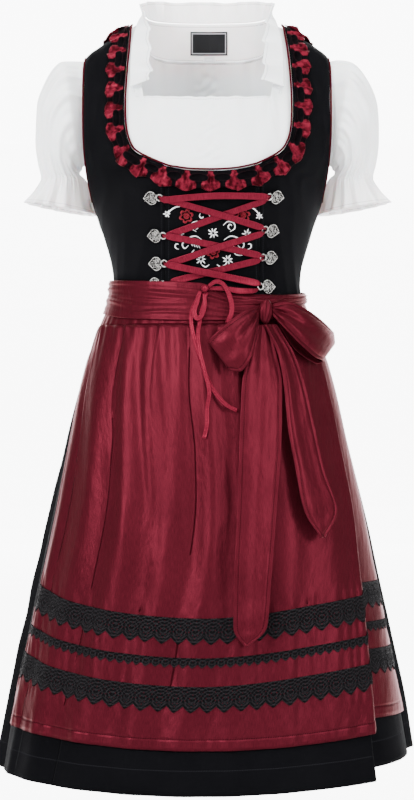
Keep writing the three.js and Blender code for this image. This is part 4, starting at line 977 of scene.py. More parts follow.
BESIDE_FOLD = (-0.004, 0, 0.004, 0.008, 0.012, 0.018)
SHARE_STEPS = np.unique(
    np.concatenate([np.linspace(0, 1, 190), [s + d for s in FOLDS["share"][1:] for d in BESIDE_FOLD]])
)
SHARE_STEPS = [float(s) for s in SHARE_STEPS if 0 <= s <= 1]
FRONT_COLUMNS = [*SHARE_STEPS, 2, 2.1, 2.2, 2.35, 2.5, 2.65, 2.8, 3, 3.25, 3.5, 3.75, 4]


# The apron's cross lines rise towards its side edges, most at the lace.
RISE = table(
    "turn up", (-86, 25), (-70, 18), (-55, 9), (-43, 4), (-20, -2), (0, -4), (15, -1), (36, 6), (60, 10), (87, 14)
)
RISE_SHARE = table("v share", (0, 0), (0.3, 0.35), (0.684, 1), (0.79, 0.77), (0.88, 0.7), (1, 0))


def apron_spot(down, column, middle=APRON_OVER + SATIN / 2):
    edge = read(APRON_LEFT, "v", "turn", down)
    turn = mix(edge, 58, min(column, 1))
    hem = -892 + 0 * turn if column > 1.5 else -906 - 18 * np.cos(np.radians(turn)) ** 2
    z = mix(APRON_TOP, hem, down)
    z = z + read(RISE, "turn", "up", turn if column <= 1.5 else 80 + 0 * turn) * read(RISE_SHARE, "v", "share", down)
    turn, out = drape(column, z, down, edge, 87, middle)
    return turn, z, out


SIDE_LIFT = 25


def skirt_spot(down, column):
    edge = read(APRON_LEFT, "v", "turn", down)
    turn = mix(edge, 60, min(max(column, 0), 1)) if column >= 0 else -89.9 + 0 * edge
    # Behind the large fold the hem lies higher, up to the side seam and a little past it.
    lift = mix(14, SIDE_LIFT, (column - 2) / 2) if column > 1.5 else 0
    top, hem = WAIST_Z - SEAM_GAP, -967 - 13 * np.cos(np.radians(turn)) ** 2
    z = mix(top, hem + lift, down)
    if column < 0:
        t = (column + 0.1) / 0.1
        share = 0.85 * np.clip((APRON_TOP - z) / 60, 0, 1)
        inner, out = drape(0.0, z, down, edge, 89.9, -CLOTH / 2, share)
        return mix(-89.9, inner, t), z, mix(-CLOTH / 2, out, t)
    share = 0.85 * np.clip((APRON_TOP - z) / 60, 0, 1)
    turn, out = drape(column, z, (top - z) / (top - hem), edge, 89.9, -CLOTH / 2, share)
    return turn, z, out


# Creases of the apron by what the camera sees: where each begins and ends, its width and depth.
APRON_CREASES = table(
    "x_top z_top x_low z_low wide deep",
    (-122, -400, -150, -640, 9, 1.8),
    (-106, -398, -118, -560, 6, -1.8),
    (-96, -396, -104, -700, 8, 2.2),
    (-84, -397, -78, -640, 6, -2.4),
    (-70, -396, -66, -760, 9, 1.8),
    (-58, -398, -52, -520, 4, -1.6),
    (-46, -396, -44, -700, 7, -2.4),
    (-32, -396, -24, -600, 6, 2.0),
    (-22, -397, -12, -740, 8, -2.0),
    (-8, -396, 2, -560, 5, 1.8),
    (6, -396, 8, -760, 9, 2.2),
    (20, -398, 34, -640, 6, -2.2),
    (34, -396, 46, -560, 5, 1.6),
    (48, -398, 62, -780, 9, -2.0),
    (96, -398, 112, -560, 6, -1.8),
    (112, -398, 140, -700, 9, 1.6),
    (-160, -560, -196, -860, 14, -2.2),
    (-110, -640, -128, -900, 13, 2.0),
    (-60, -600, -76, -900, 12, -2.2),
    (10, -640, 6, -900, 14, 1.8),
    (60, -620, 80, -900, 12, -2.0),
    (120, -640, 140, -880, 13, 1.8),
)
SKIRT_CREASES = table(
    "x_top z_top x_low z_low wide deep",
    (-150, -560, -196, -960, 12, -2.4),
    (-196, -760, -220, -985, 12, 2.2),
    (-120, -700, -140, -990, 16, -2.6),
    (-60, -700, -62, -990, 15, 2.2),
    (0, -700, 2, -990, 16, -2.2),
    (70, -700, 84, -990, 15, 2.4),
    (140, -700, 160, -980, 14, -2.4),
)


def apron_extra(turn, z, down):
    arc = np.radians(turn) * read(BODY, "z", "half", z)
    gathers = 0.9 * np.sin(arc / 3.1 + 0.6 * np.sin(arc / 9)) * np.maximum(0, 1 - down / 0.13) ** 1.3
    pucker = 0.55 * np.sin(arc / 2.7 + 1.3 * np.sin(arc / 11)) * (
        bump_between(down, 0.660, 0.690, 0.03) + bump_between(down, 0.742, 0.775, 0.03)
        + bump_between(down, 0.80, 0.845, 0.035) + bump_between(down, 0.90, 0.925, 0.02)
    )
    soft = 0.8 * ripple(arc, z * 0.35, 21, 75) * np.clip(down * 5, 0, 1)
    hem = 0.7 * np.sin(arc / 4.2 + 1.1 * np.sin(arc / 13)) * bump_between(down, 0.962, 1.2, 0.03)
    total = creased(turn, z, APRON_CREASES) + gathers + pucker + soft + hem
    return np.where(total < 0, -2.3 * np.tanh(-total / 2.3), total)


def skirt_extra(turn, z, down):
    arc = np.radians(turn) * read(BODY, "z", "half", z)
    soft = 0.9 * ripple(arc, z * 0.3, 5, 90) * np.clip(down * 4 - 0.6, 0, 1)
    # What lies under the apron stays under it.
    free = creased(turn, z, SKIRT_CREASES) + soft
    side = np.clip((89.9 - np.abs(turn)) / 7, 0, 1)
    under = bump_between(down, 0.1, 0.885, 0.05) * np.clip((82 - np.abs(turn)) / 10, 0, 1)
    return (np.minimum(free, 0) - 3.2) * under + side * free * bump_between(down, 0.925, 1.5, 0.04)


APRON_ROWS = np.unique(np.concatenate([np.linspace(0, 0.13, 16), np.linspace(0.13, 1, 100)]))
apron_middle, apron_turn, apron_z = draped_grid(APRON_ROWS, FRONT_COLUMNS, apron_spot, apron_extra)
apron_v = lengths(apron_middle, 0)
apron_u = lengths(apron_middle, 1)
apron_edge = np.minimum(apron_v[-1:] - apron_v, np.minimum(apron_u, apron_u[:, -1:] - apron_u) + 8)
cloth("apron_skirt", apron_middle, 0.9, APRON_SATIN, ("apron_skirt",), marks={"edge": apron_edge})

SKIRT_ROWS = np.unique(np.concatenate([np.linspace(0, 0.12, 8), np.linspace(0.12, 1, 84)]))
SIDE_COLUMNS = [-0.1, -0.08, -0.06, -0.04, -0.02]
skirt_middle, _, _ = draped_grid(SKIRT_ROWS, [*SIDE_COLUMNS, *FRONT_COLUMNS], skirt_spot, skirt_extra)
skirt_v = lengths(skirt_middle, 0)
skirt_edge = {"edge": skirt_v[-1:] - skirt_v}
cloth("skirt_front", skirt_middle, 1.3, BLACK_HEMMED, ("skirt_front",), marks=skirt_edge)

BACK_FOLDS = 12
t = np.linspace(0, 1, 301)[None, :]
down = SKIRT_ROWS[:, None]
turn = mix(89.4, 270.6, t) + 0 * down
tucked = 1.7 * np.exp(-((np.minimum(turn - 89.4, 270.6 - turn) / 1.1) ** 4))
fold_no = BACK_FOLDS * t
uneven = 1 + 0.28 * np.sin(np.floor(fold_no) * 2.3) + 0.14 * np.sin(np.floor(fold_no) * 5.9)
wave = np.sin(np.pi * fold_no) ** 2 * mix(1.5, 13, down**0.8) * mix(1, uneven, np.clip(down * 2, 0, 1)) * 0.96
gather = 0.7 * np.sin(t * 150 * np.pi) * np.maximum(0, 1 - down / 0.12)
past_seam = np.clip((turn - 90) / 60, 0, 1)
hem = -967 - 8 * np.cos(np.radians(turn)) ** 2 + SIDE_LIFT * (1 - past_seam**2 * (3 - 2 * past_seam))
z = mix(WAIST_Z - SEAM_GAP, hem, down)
arc = np.radians(turn) * read(BODY, "z", "half", z)
wave = wave + (gather + 1.0 * ripple(arc, z * 0.3, 8, 80) * np.clip(down * 4 - 0.4, 0, 1)) * (np.abs(t - 0.5) < 0.497)
back_middle = skin(turn, z, wave - CLOTH / 2 - tucked)
back_v = lengths(back_middle, 0)
back_edge = {"edge": back_v[-1:] - back_v}
cloth("skirt_back", back_middle, 1.3, BLACK_HEMMED, ("skirt_back",), marks=back_edge)

# ---------------------------------------------------------------- lace
def kept_cells(field):
    """Points (column, row) and faces of the part of a square net where the field is above zero."""
    number, points, faces = {}, [], []

    def point(key, where):
        if key not in number:
            number[key] = len(points)
            points.append(where)
        return number[key]

    inside = field > 0
    busy = inside[:-1, :-1] | inside[1:, :-1] | inside[:-1, 1:] | inside[1:, 1:]
    for r, c in np.argwhere(busy):
        corners = [(r, c), (r, c + 1), (r + 1, c + 1), (r + 1, c)]
        face = []
        for k in range(4):
            a, b = corners[k], corners[(k + 1) % 4]
            fa, fb = field[a], field[b]
            if fa > 0:
                face.append(point(a, (a[1], a[0])))
            if (fa > 0) != (fb > 0):
                t = min(0.97, max(0.03, fa / (fa - fb)))
                key = (min(a, b), max(a, b))
                face.append(point(key, (a[1] + (b[1] - a[1]) * t, a[0] + (b[0] - a[0]) * t)))
        if len(face) > 2:
            faces.append(face)
    return np.array(points), faces


def lace_band(name, first, last, repeat, teeth, pitch, holes):
    """A lace band on the apron between two heights, with a scalloped lower edge, holes and raised cords."""
    row = float(np.interp((first + last) / 2, APRON_ROWS, np.arange(len(APRON_ROWS))))
    u_row = mix(apron_u[int(row)], apron_u[int(row) + 1], row - int(row))
    wide = u_row[-1] - 0.4
    tall = (last - first) * (apron_v[-1, apron_v.shape[1] // 3])
    us = np.linspace(0.2, wide, int(wide / pitch))
    ws = np.linspace(0, tall, max(8, int(tall / pitch)))
    u, w = us[None, :], ws[:, None]
    part = u / repeat
    phase = part - np.floor(part) - 0.5
    wobble = 0.5 * np.sin(np.floor(part) * 2.7)
    picot = 0.38 * np.cos(2 * np.pi * u / 2.6)
    lower = tall - 0.4 - teeth * np.abs(2 * phase) ** 1.25 + wobble * 0.5 + picot
    upper = 0.3 + 0.35 * np.cos(2 * np.pi * u / 3.4)
    field = np.minimum(lower - w, w - upper)
    field = np.minimum(field, np.minimum(u - 0.1, wide - u) + 0.3)
    for du, dw, size in holes:
        for shift in (-1, 0, 1):
            x = (phase + shift) * repeat - du
            field = np.minimum(field, np.hypot(x, w - tall * dw) - size)
    points, faces = kept_cells(np.broadcast_to(field, (len(ws), len(us))))
    at_u = np.interp(points[:, 0], np.arange(len(us)), us)
    at_w = np.interp(points[:, 1], np.arange(len(ws)), ws)
    column = np.interp(at_u, u_row, np.arange(len(u_row)))
    line = np.interp(mix(first, last, at_w / tall), APRON_ROWS, np.arange(len(APRON_ROWS)))
    c0 = np.clip(column.astype(int), 0, len(u_row) - 2)
    r0 = np.clip(line.astype(int), 0, len(APRON_ROWS) - 2)
    tc, tr = (column - c0)[:, None], (line - r0)[:, None]

    def on(grid):
        near = mix(grid[r0, c0], grid[r0, c0 + 1], tc)
        far = mix(grid[r0 + 1, c0], grid[r0 + 1, c0 + 1], tc)
        return mix(near, far, tr)

    under, out = on(apron_middle), unit(on(APRON_SQUARE))
    ring = np.hypot(((at_u / repeat) % 1 - 0.5) * repeat, at_w - tall * 0.52)
    line = np.abs(2 * ((at_u / repeat) % 1 - 0.5)) ** 1.25 * teeth + at_w
    # The raised mark picks out the cords on which lace_thread paints a highlight.
    raised = np.clip(np.maximum(np.cos(ring * 2 * np.pi / 4.2), np.cos((line - tall) * 2 * np.pi / 4.6)), 0, 1)
    mesh_cords = 0.14 * np.cos(2 * np.pi * at_u / 2.1) * np.cos(2 * np.pi * at_w / 2.3)
    cords = 0.22 * np.cos(ring * 2 * np.pi / 3.1) + mesh_cords
    top = under + out * (1.55 + cords)[:, None]
    low = under + out * 0.72
    count = len(points)
    seen_edges = {(face[i], face[(i + 1) % len(face)]) for face in faces for i in range(len(face))}
    rims = [(b, a, a + count, b + count) for a, b in seen_edges if (b, a) not in seen_edges]
    back = [[i + count for i in face[::-1]] for face in faces]
    everything = np.concatenate([top, low])
    a, b, c = faces[0][:3]
    if np.dot(np.cross(top[b] - top[a], top[c] - top[b]), out[a]) < 0:
        faces = [face[::-1] for face in faces]
        back = [face[::-1] for face in back]
        rims = [rim[::-1] for rim in rims]
    order = faces + back + rims
    us2, ws2 = np.concatenate([at_u, at_u]), np.concatenate([at_w, at_w])
    index = np.array([i for face in order for i in face])
    uv = np.stack([us2[index], ws2[index]], -1)
    corners = [tuple(int(i) for i in face) for face in order]
    marks = {"raised": np.concatenate([raised, raised])}
    return place(name, everything, corners, LACE_THREAD, (name,), uv=uv, marks=marks)


APRON_SQUARE = squares(apron_middle)
if APRON_SQUARE[5, 60] @ square_to(apron_turn[5, 60], apron_z[5, 60]) < 0:
    APRON_SQUARE = -APRON_SQUARE
WIDE_HOLES = [
    (0, 0.30, 0.95), (-3.4, 0.44, 0.95), (3.4, 0.44, 0.95), (-3.0, 0.63, 0.9), (3.0, 0.63, 0.9), (0, 0.74, 0.95),
    (-7.6, 0.20, 0.9), (7.6, 0.20, 0.9), (-8.4, 0.52, 0.95), (8.4, 0.52, 0.95), (0, 0.12, 0.8), (10.5, 0.34, 0.9),
]
SMALL_HOLES = [(0, 0.34, 0.85), (6, 0.34, 0.8)]
lace_band("lace_upper", 0.684, 0.748, 21, 8.5, 0.92, WIDE_HOLES)
lace_band("lace_middle", 0.778, 0.803, 12, 5.0, 0.8, SMALL_HOLES)
lace_band("lace_lower", 0.845, 0.908, 21, 8.5, 0.92, WIDE_HOLES)

# ---------------------------------------------------------------- waistband and sash
down, t = np.linspace(0, 1, 14)[:, None], np.linspace(0, 1, 221)[None, :]
turn = mix(-86, 87, t) + 0 * down
arc = np.radians(turn) * 130
z = mix(-355.5, APRON_TOP + SEAM_GAP + 0.2, down) + 0 * t
band = skin(turn, z, 1.9 + 0.35 * np.sin(arc / 2.3) * down)
# An edge mark of 9 mm or more is past every stitch line.
cloth("apron_waistband", band, 0.9, BOW_SATIN, ("apron_waistband",), marks={"edge": 9 + 0 * turn})

SASH = table(
    "turn top low", (-180, -338, -384), (-90, -334, -379), (-45, -337, -387), (-5, -341, -390), (15, -357, -390),
    (36, -359, -388), (50, -356, -370), (90, -351, -364), (130, -345, -374), (180, -338, -384),
)
# Soft ridges along the sash: how far down each begins and ends up, its height and width.
SASH_RIDGES = table(
    "at_left at_front high wide",
    (0.10, 0.16, 1.5, 0.05),
    (0.27, 0.34, 2.6, 0.07),
    (0.47, 0.46, 1.2, 0.04),
    (0.62, 0.68, 2.6, 0.08),
    (0.84, 0.82, 1.7, 0.05),
)
down, t = np.linspace(0, 1, 46)[:, None], np.linspace(0, 1, 361)[None, :-1]
turn = mix(-180, 180, t) + 0 * down
lift = 0.5 + 0 * turn
for i in range(len(SASH_RIDGES["high"])):
    at = mix(SASH_RIDGES["at_left"][i], SASH_RIDGES["at_front"][i], 0.5 + 0.5 * np.cos(np.radians(turn * 2 - 20)))
    at = at + 0.035 * np.sin(np.radians(turn) * (2 + i) + i * 1.7)
    fade = 0.62 + 0.38 * np.sin(np.radians(turn) * (3 + i % 2) + i * 2.1)
    lift = lift + SASH_RIDGES["high"][i] * fade * np.exp(-(((down - at) / SASH_RIDGES["wide"][i]) ** 2))
pinch = np.exp(-(((turn - 33) / 13) ** 2))
lift = lift * (1 - 0.5 * pinch) + 1.1 * pinch * np.sin(down * 26)
lift = np.clip(lift, 0.1, 3.4) * bump_between(down, 0.0, 1.0, 0.05) + 0.3
z = mix(read(SASH, "turn", "top", turn), read(SASH, "turn", "low", turn), down)
sash_out = skin(turn, z, 4.4 + lift)
sash_in = skin(turn, z, 4.35 + lift * 0.55 - 0.2)
shell("sash", sash_out, sash_in, BOW_SATIN, ("sash",), True, marks={"edge": 9 + 0 * turn})

# ---------------------------------------------------------------- bow of the sash
KNOT = {"x": 78, "z": -374, "wide": 9, "tall": 16, "deep": 6, "out": 14}
up = np.linspace(0.02, np.pi - 0.02, 42)[:, None]
around = np.linspace(0, 2 * np.pi, 73)[None, :-1]
folds = (
    1
    + 0.07 * np.sin(around * 5 + 1.2 * np.cos(up)) * np.sin(up)
    + 0.05 * np.sin(around * 9 + 2.0 * up) * np.sin(up)
)
folds = folds - 0.10 * np.exp(-(((around - 4.4) / 0.22) ** 2)) * np.sin(up)
x = KNOT["wide"] * np.sin(up) * np.cos(around) * folds
y = KNOT["deep"] * np.sin(up) * np.sin(around) * folds
z = KNOT["tall"] * np.cos(up) + 0 * around
a = math.radians(6)
x, z = x * math.cos(a) + z * math.sin(a), -x * math.sin(a) + z * math.cos(a)
a = math.radians(36)
x, y = x * math.cos(a) - y * math.sin(a), x * math.sin(a) + y * math.cos(a)
ball = np.stack([x, y, z], -1) + before(KNOT["x"], KNOT["z"], KNOT["out"])
rows, cols = ball.shape[:2]
faces = []
for r in range(rows - 1):
    for c in range(cols):
        n = (c + 1) % cols
        faces.append((r * cols + c, (r + 1) * cols + c, (r + 1) * cols + n, r * cols + n))
faces.append(tuple(range(cols)))
faces.append(tuple((rows - 1) * cols + c for c in range(cols))[::-1])
ball = ball.reshape(-1, 3)
uv = [(ball[i][0], ball[i][2]) for face in faces for i in face]
place("bow_knot", ball, faces, BOW_SATIN, ("bow_knot",), uv=uv, marks={"edge": np.full(rows * cols, 9.0)})

LOOP_LEFT = table(
    "s up_x up_z low_x low_z out",
    (0, 69, -366, 69, -382, 16.2),
    (1, 52, -372, 66, -408, 25),
    (2, 28, -388, 58, -436, 29),
    (3, 11, -402, 44, -452, 24),
    (4, 1, -412, 30, -450, 17),
    (5, 6, -406, 36, -442, 12.5),
    (6, 30, -390, 54, -424, 11.5),
    (7, 68.4, -368, 68.4, -381, 12),
)
LOOP_RIGHT = table(
    "s up_x up_z low_x low_z out",
    (0, 86.8, -364, 87.2, -379, 15.5),
    (1, 108, -361, 106, -398, 27),
    (2, 134, -372, 126, -418, 30),
    (3, 158, -392, 144, -434, 26),
    (4, 172, -409, 152, -438, 19),
    (5, 164, -405, 144, -442, 12.5),
    (6, 128, -388, 116, -424, 11),
    (7, 89, -366, 89, -380, 12),
)


def bow_loop(name, tab, folds):
    """A loop that goes out from the knot along its front layer and comes back behind."""
    across, s = np.linspace(0, 1, 34)[:, None], np.linspace(0, 7, 141)[None, :]
    get = lambda key: read(tab, "s", key, s)
    x = mix(get("up_x"), get("low_x"), across)
    z = mix(get("up_z"), get("low_z"), across)
    near = np.exp(-(s / 1.3) ** 2) + np.exp(-((7 - s) / 1.0) ** 2)
    crease = 0 * x
    for at, deep, wide, far in folds:
        crease = crease + deep * np.exp(-(((across - at) / wide) ** 2)) * np.exp(-((s / far) ** 2))
    crease = crease + 1.1 * np.sin(across * 21 + 0.8) * near
    sag = 1.2 * np.sin(np.pi * across) * np.exp(-(((s - 2.2) / 1.2) ** 2))
    points = before(x, z, get("out") + crease * np.clip(s * 2, 0, 1) * np.clip((7 - s) * 2, 0.3, 1) + sag)
    v = lengths(points, 0)
    edge = np.minimum(v, v[-1:] - v)
    return cloth(name, points, 0.9, BOW_SATIN, (name,), marks={"edge": edge})


# Creases of a loop: place across it, depth, width and how far from the knot each runs.
LEFT_CREASES = [(0.25, 2.6, 0.11, 2.8), (0.5, -2.4, 0.1, 2.4), (0.75, 2.4, 0.1, 3.0), (0.1, -1.2, 0.06, 3.4)]
RIGHT_CREASES = [(0.22, 2.2, 0.1, 2.6), (0.45, -2.4, 0.12, 2.2), (0.7, 2.4, 0.12, 2.6), (0.9, -1.2, 0.06, 3.4)]
bow_loop("bow_loop_left", LOOP_LEFT, LEFT_CREASES)
bow_loop("bow_loop_right", LOOP_RIGHT, RIGHT_CREASES)

TAIL_LEFT = table(
    "s left right z out",
    (0, 66, 81, -391.2, 13.4),
    (1, 54, 92, -430, 14),
    (2, 46, 100, -470, 15),
    (3, 43, 99, -540, 17),
    (4, 40, 93, -630, 18),
    (5, 36, 86, -720, 19),
    (6, 35, 80, -784, 20),
    (7, 50, 54, -810, 20),
)
TAIL_RIGHT = table(
    "s left right z out",
    (0, 75, 92, -390.8, 14.9),
    (1, 94, 116, -430, 18),
    (2, 102, 130, -470, 21),
    (3, 107, 142, -520, 23),
    (4, 118, 156, -580, 24),
    (5, 129, 173, -632, 25),
    (6, 151, 157, -668, 25),
)
# Long folds of a tail: place across it at the knot and at the end, height, width and how far it runs.
LEFT_FOLDS = table(
    "top low high wide far",
    (0.18, 0.1, 1.8, 0.09, 0.7),
    (0.42, 0.5, -2.2, 0.1, 0.9),
    (0.68, 0.62, 2.4, 0.1, 0.55),
    (0.88, 0.94, -1.6, 0.07, 0.8),
)
RIGHT_FOLDS = table(
    "top low high wide far",
    (0.2, 0.3, 2.2, 0.1, 0.8),
    (0.5, 0.44, -2.2, 0.1, 0.7),
    (0.76, 0.8, 2.0, 0.1, 0.9),
)


def bow_tail(name, tab, fold_tab, rows, seed):
    last = tab["s"][-1]
    t, across = np.linspace(0, 1, rows)[:, None], np.linspace(0, 1, 41)[None, :]
    s = t * last
    left, right = read(tab, "s", "left", s), read(tab, "s", "right", s)
    crease = 1.6 * np.sin(2 * np.pi * across) * (1 - t * 0.6)
    for i in range(len(fold_tab["top"])):
        at = mix(fold_tab["top"][i], fold_tab["low"][i], t)
        run = np.clip(1 - t / fold_tab["far"][i], 0, 1) ** 0.6
        crease = crease + fold_tab["high"][i] * 0.55 * run * np.exp(-(((across - at) / fold_tab["wide"][i]) ** 2))
    crease = crease + 0.7 * ripple(across * 46, s * 60, seed, 55) * np.clip(t * 4, 0, 1)
    point = read(tab, "s", "z", s) + 0 * across
    points = before(mix(left, right, across), point, read(tab, "s", "out", s) + crease)
    u = lengths(points, 1)
    edge = np.minimum(np.minimum(u, u[:, -1:] - u), 30)
    return cloth(name, points, 0.9, BOW_SATIN, (name,), marks={"edge": edge})


bow_tail("bow_tail_left", TAIL_LEFT, LEFT_FOLDS, 150, 31)
bow_tail("bow_tail_right", TAIL_RIGHT, RIGHT_FOLDS, 110, 37)

# ---------------------------------------------------------------- hooks
HOOKS = {
    ("left", 1): (-61, -225, 0),
    ("left", 2): (-56, -274.5, 0),
    ("left", 3): (-54.5, -311, 0),
    ("left", 4): (-57, -339, 0),
    ("right", 1): (79.5, -224, 0),
    ("right", 2): (74, -266.5, 8),
    ("right", 3): (71.5, -303, 0),
    ("right", 4): (68, -342, 0),
}
HOOK_OVER = 1.1


def turned(v, axis, degrees):
    a = math.radians(degrees)
    return v * math.cos(a) + np.cross(axis, v) * math.sin(a) + axis * (axis @ v) * (1 - math.cos(a))


hook_frames = {}
for (side_name, number), (x, z, lean) in HOOKS.items():
    turn, height = seen(x, z)
    sign = -1 if side_name == "left" else 1
    normal = square_to(turn, height)
    out_way = skin(turn + sign * 4, height) - skin(turn, height)
    out_way = unit(out_way - normal * (out_way @ normal))
    up_way = np.cross(normal, out_way)
    out_way, up_way = turned(out_way, normal, lean * -sign), turned(up_way, normal, lean * -sign)
    centre = skin(turn, height, HOOK_OVER)
    hook_frames[side_name, number] = {"centre": centre, "normal": normal, "out": out_way, "up": up_way}


def clear_selection():
    for thing in bpy.context.selected_objects:
        thing.select_set(False)


def added(kind, **settings):
    clear_selection()
    kind(**settings)
    return bpy.context.object


def hook_relief():
    """Ring, beaded rim and scrolls of a hook, lying on its plate. Modelled once at ten times its size."""
    pieces = []
    ring = added(
        bpy.ops.mesh.primitive_torus_add,
        major_radius=0.0405, minor_radius=0.0105, major_segments=40, minor_segments=12,
        location=(0, 0, 0.018),
    )
    pieces.append(ring)
    heart = [(45, 24), (62, 62), (92, 80), (122, 82), (148, 70), (172, 46), (194, 22), (212, 0)]
    rim = smooth_line([(x, y, 0) for x, y in heart], 4)
    rim = np.concatenate([rim, rim[-2::-1] * [1, -1, 1]])
    for i in range(len(rim)):
        bead = added(
            bpy.ops.mesh.primitive_uv_sphere_add, segments=8, ring_count=5, radius=0.0068,
            location=(rim[i][0] / 1000, rim[i][1] / 1000, 0.019),
        )
        bead.scale = (1, 1, 0.75)
        pieces.append(bead)
    scrolls = [
        (0.090, 0.036, 0.022, 0.0034), (0.090, -0.036, 0.022, 0.0034), (0.132, 0.030, 0.017, 0.0032),
        (0.132, -0.030, 0.017, 0.0032), (0.166, 0.0, 0.017, 0.0032), (0.108, 0.0, 0.014, 0.0034),
        (0.088, 0.036, 0.010, 0.0030), (0.088, -0.036, 0.010, 0.0030), (0.062, 0.0, 0.010, 0.0030),
    ]
    for x, y, large, small in scrolls:
        scroll = added(
            bpy.ops.mesh.primitive_torus_add, major_radius=large, minor_radius=small, major_segments=22,
            minor_segments=7, location=(x, y, 0.019),
        )
        pieces.append(scroll)
    for x, y, size in ((0.108, 0.0, 0.007), (0.090, 0.036, 0.006), (0.090, -0.036, 0.006), (0.132, 0.030, 0.006),
                       (0.132, -0.030, 0.006), (0.166, 0, 0.007), (0.150, 0.048, 0.006), (0.150, -0.048, 0.006),
                       (0.112, 0.062, 0.006), (0.112, -0.062, 0.006), (0.192, 0, 0.006)):
        bead = {"segments": 8, "ring_count": 5, "radius": size, "location": (x, y, 0.018)}
        pieces.append(added(bpy.ops.mesh.primitive_uv_sphere_add, **bead))
    clear_selection()
    for piece in pieces:
        piece.select_set(True)
    bpy.context.view_layer.objects.active = ring
    bpy.ops.object.join()
    ring.name = "hook_relief"
    bpy.ops.object.transform_apply(location=True, rotation=True, scale=True)
    bpy.ops.object.mode_set(mode="EDIT")
    bpy.ops.mesh.select_all(action="SELECT")
    bpy.ops.transform.resize(value=(0.1, 0.1, 0.1), center_override=(0, 0, 0))
    bpy.ops.object.mode_set(mode="OBJECT")
    bpy.ops.object.shade_smooth()
    return ring


relief = hook_relief()
relief_points = np.array([v.co[:] for v in relief.data.vertices])
for (side_name, number), f in hook_frames.items():
    piece = relief if (side_name, number) == ("left", 1) else relief.copy()
    if piece is not relief:
        piece.data = relief.data.copy()
        bpy.context.scene.collection.objects.link(piece)
    piece.name = f"hook_filigree_{side_name}_{number}"
    axes = np.stack([f["out"], f["up"], f["normal"]])
    spots = relief_points @ axes + f["centre"] * MM
    piece.data.vertices.foreach_set("co", spots.ravel())
    piece.data.update()
    piece.data.materials.clear()
    piece.data.materials.append(SILVER_RAISED)
    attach(piece, "root")
    plate = frame["nodes"][f"hook_{side_name}_{number}"]
    plate.data.materials.clear()
    plate.data.materials.append(SILVER_DEEP)

# ---------------------------------------------------------------- lacing
LACING = {"wide": 8.5, "middling": 2.9, "narrow": 1.9, "thick": 0.6, "rest": 3.7, "under": 1.9}
STRETCHES = [
    # from, to, height, up at the start, up at the end, sag, shorter by
    (("left", 1), ("right", 1), 7.2, 1.9, 1.9, 2, 0),
    (("left", 1), ("right", 2), 5.5, -2.2, 1.9, 0, 0),
    (("right", 1), ("left", 2), 3.7, -1.9, 1.9, 0, 0),
    (("left", 2), ("right", 3), 5.5, -1.9, 1.9, 0, 0),
    (("right", 2), ("left", 3), 7.3, -1.9, 1.9, 0, 0),
    (("left", 3), ("right", 4), 9.2, -1.9, 1.9, 0, 0),
    (("right", 3), ("left", 4), 3.7, -1.9, 0, 0, 6.5),
]


def ribbon(name, centres, widths, normals, nodes, per=8, flutter=0.3):
    """A flat ribbon along a line, slightly cupped, with a soft crease."""
    line = smooth_line(centres, per)
    normal = unit(smooth_line(normals, per))
    width = smooth_line(np.stack([widths] * 3, -1), per)[:, 0]
    along = unit(np.gradient(line, axis=0))
    across = unit(np.cross(along, normal))
    s = np.linspace(-0.5, 0.5, 11)[:, None]
    run = np.concatenate([[0], np.cumsum(np.linalg.norm(np.diff(line, axis=0), axis=-1))])[None, :]
    tight = np.clip(1 - (width - 2) / 6, 0, 1)[None, :]
    cup = flutter * (4 * s**2 - 0.4) + 0.2 * np.sin(run / 9) * s + 0.35 * tight * np.cos(s * 12)
    grid = line[None] + across[None] * (s * width[None, :])[..., None] + normal[None] * cup[..., None]
    piece = cloth(name, grid, LACING["thick"], LACING_SATIN, nodes)
    return piece, line


for i, (first, second, height, from_up, to_up, sag, short) in enumerate(STRETCHES):
    a, b = hook_frames[first], hook_frames[second]
    start, end = a["centre"] + a["up"] * from_up, b["centre"] + b["up"] * to_up
    length = np.linalg.norm(end - start) - short
    end = start + unit(end - start) * length
    shares = [0, 4 / length, 10 / length, 0.3, 0.5, 0.7, 1 - 10 / length, 1 - 4 / length, 1]
    sizes = [LACING["narrow"], LACING["middling"], LACING["wide"]]
    widths = [sizes[min(k, len(shares) - 1 - k, 2)] for k in range(len(shares))]
    centres, normals = [], []
    for k, t in enumerate(shares):
        p = mix(start, end, t)
        turn = math.degrees(math.asin(p[0] / read(BODY, "z", "half", p[2])))
        hidden = LACING["under"] if second == ("left", 4) and t > 0.6 else height
        out = min(hidden, LACING["rest"]) if k in (0, len(shares) - 1) else hidden
        centres.append(skin(turn, p[2] + sag * math.sin(math.pi * t), out))
        normals.append(square_to(turn, p[2]))
    ribbon(f"lacing_{i + 1}", centres, widths, normals, (f"lacing_{i + 1}",), per=7)

LACE_TO_KNOT = table(
    "x z out wide",
    (67.5, -344.5, 3.7, 1.9),
    (61, -347, 7, 6),
    (42, -347, 11.5, 7.5),
    (22, -344, 11.5, 6),
    (2.2, -344, 11.2, 4),
)
LACE_LOOP_LEFT = table(
    "x z out wide", (-9.2, -347.3, 12.7, 4), (-13, -360, 13.6, 6), (-17, -374, 13.6, 6), (-13, -383, 12.6, 6),
    (-6, -378, 11.2, 5), (-3, -364, 10.8, 5), (-4, -350, 10.8, 4),
)
LACE_LOOP_RIGHT = table(
    "x z out wide", (1.8, -341.3, 13.8, 4), (12, -335, 14.6, 5.5), (22, -339, 14.6, 5.5), (30, -354, 14.6, 6),
    (33, -372, 14.6, 6), (27, -390, 13.6, 6),
)
LACE_TAIL_LONG = table(
    "x z out wide",
    (-7, -348, 9.7, 3),
    (-14, -359, 9.6, 4),
    (-20, -373, 9.6, 5),
    (-21, -388, 10.4, 5),
    (-17, -408, 11, 5),
    (-12, -426, 12.5, 5),
    (-4, -450, 13, 5),
    (8, -475, 12.5, 5),
    (24, -494, 12, 5),
    (40, -503, 12, 5),
)
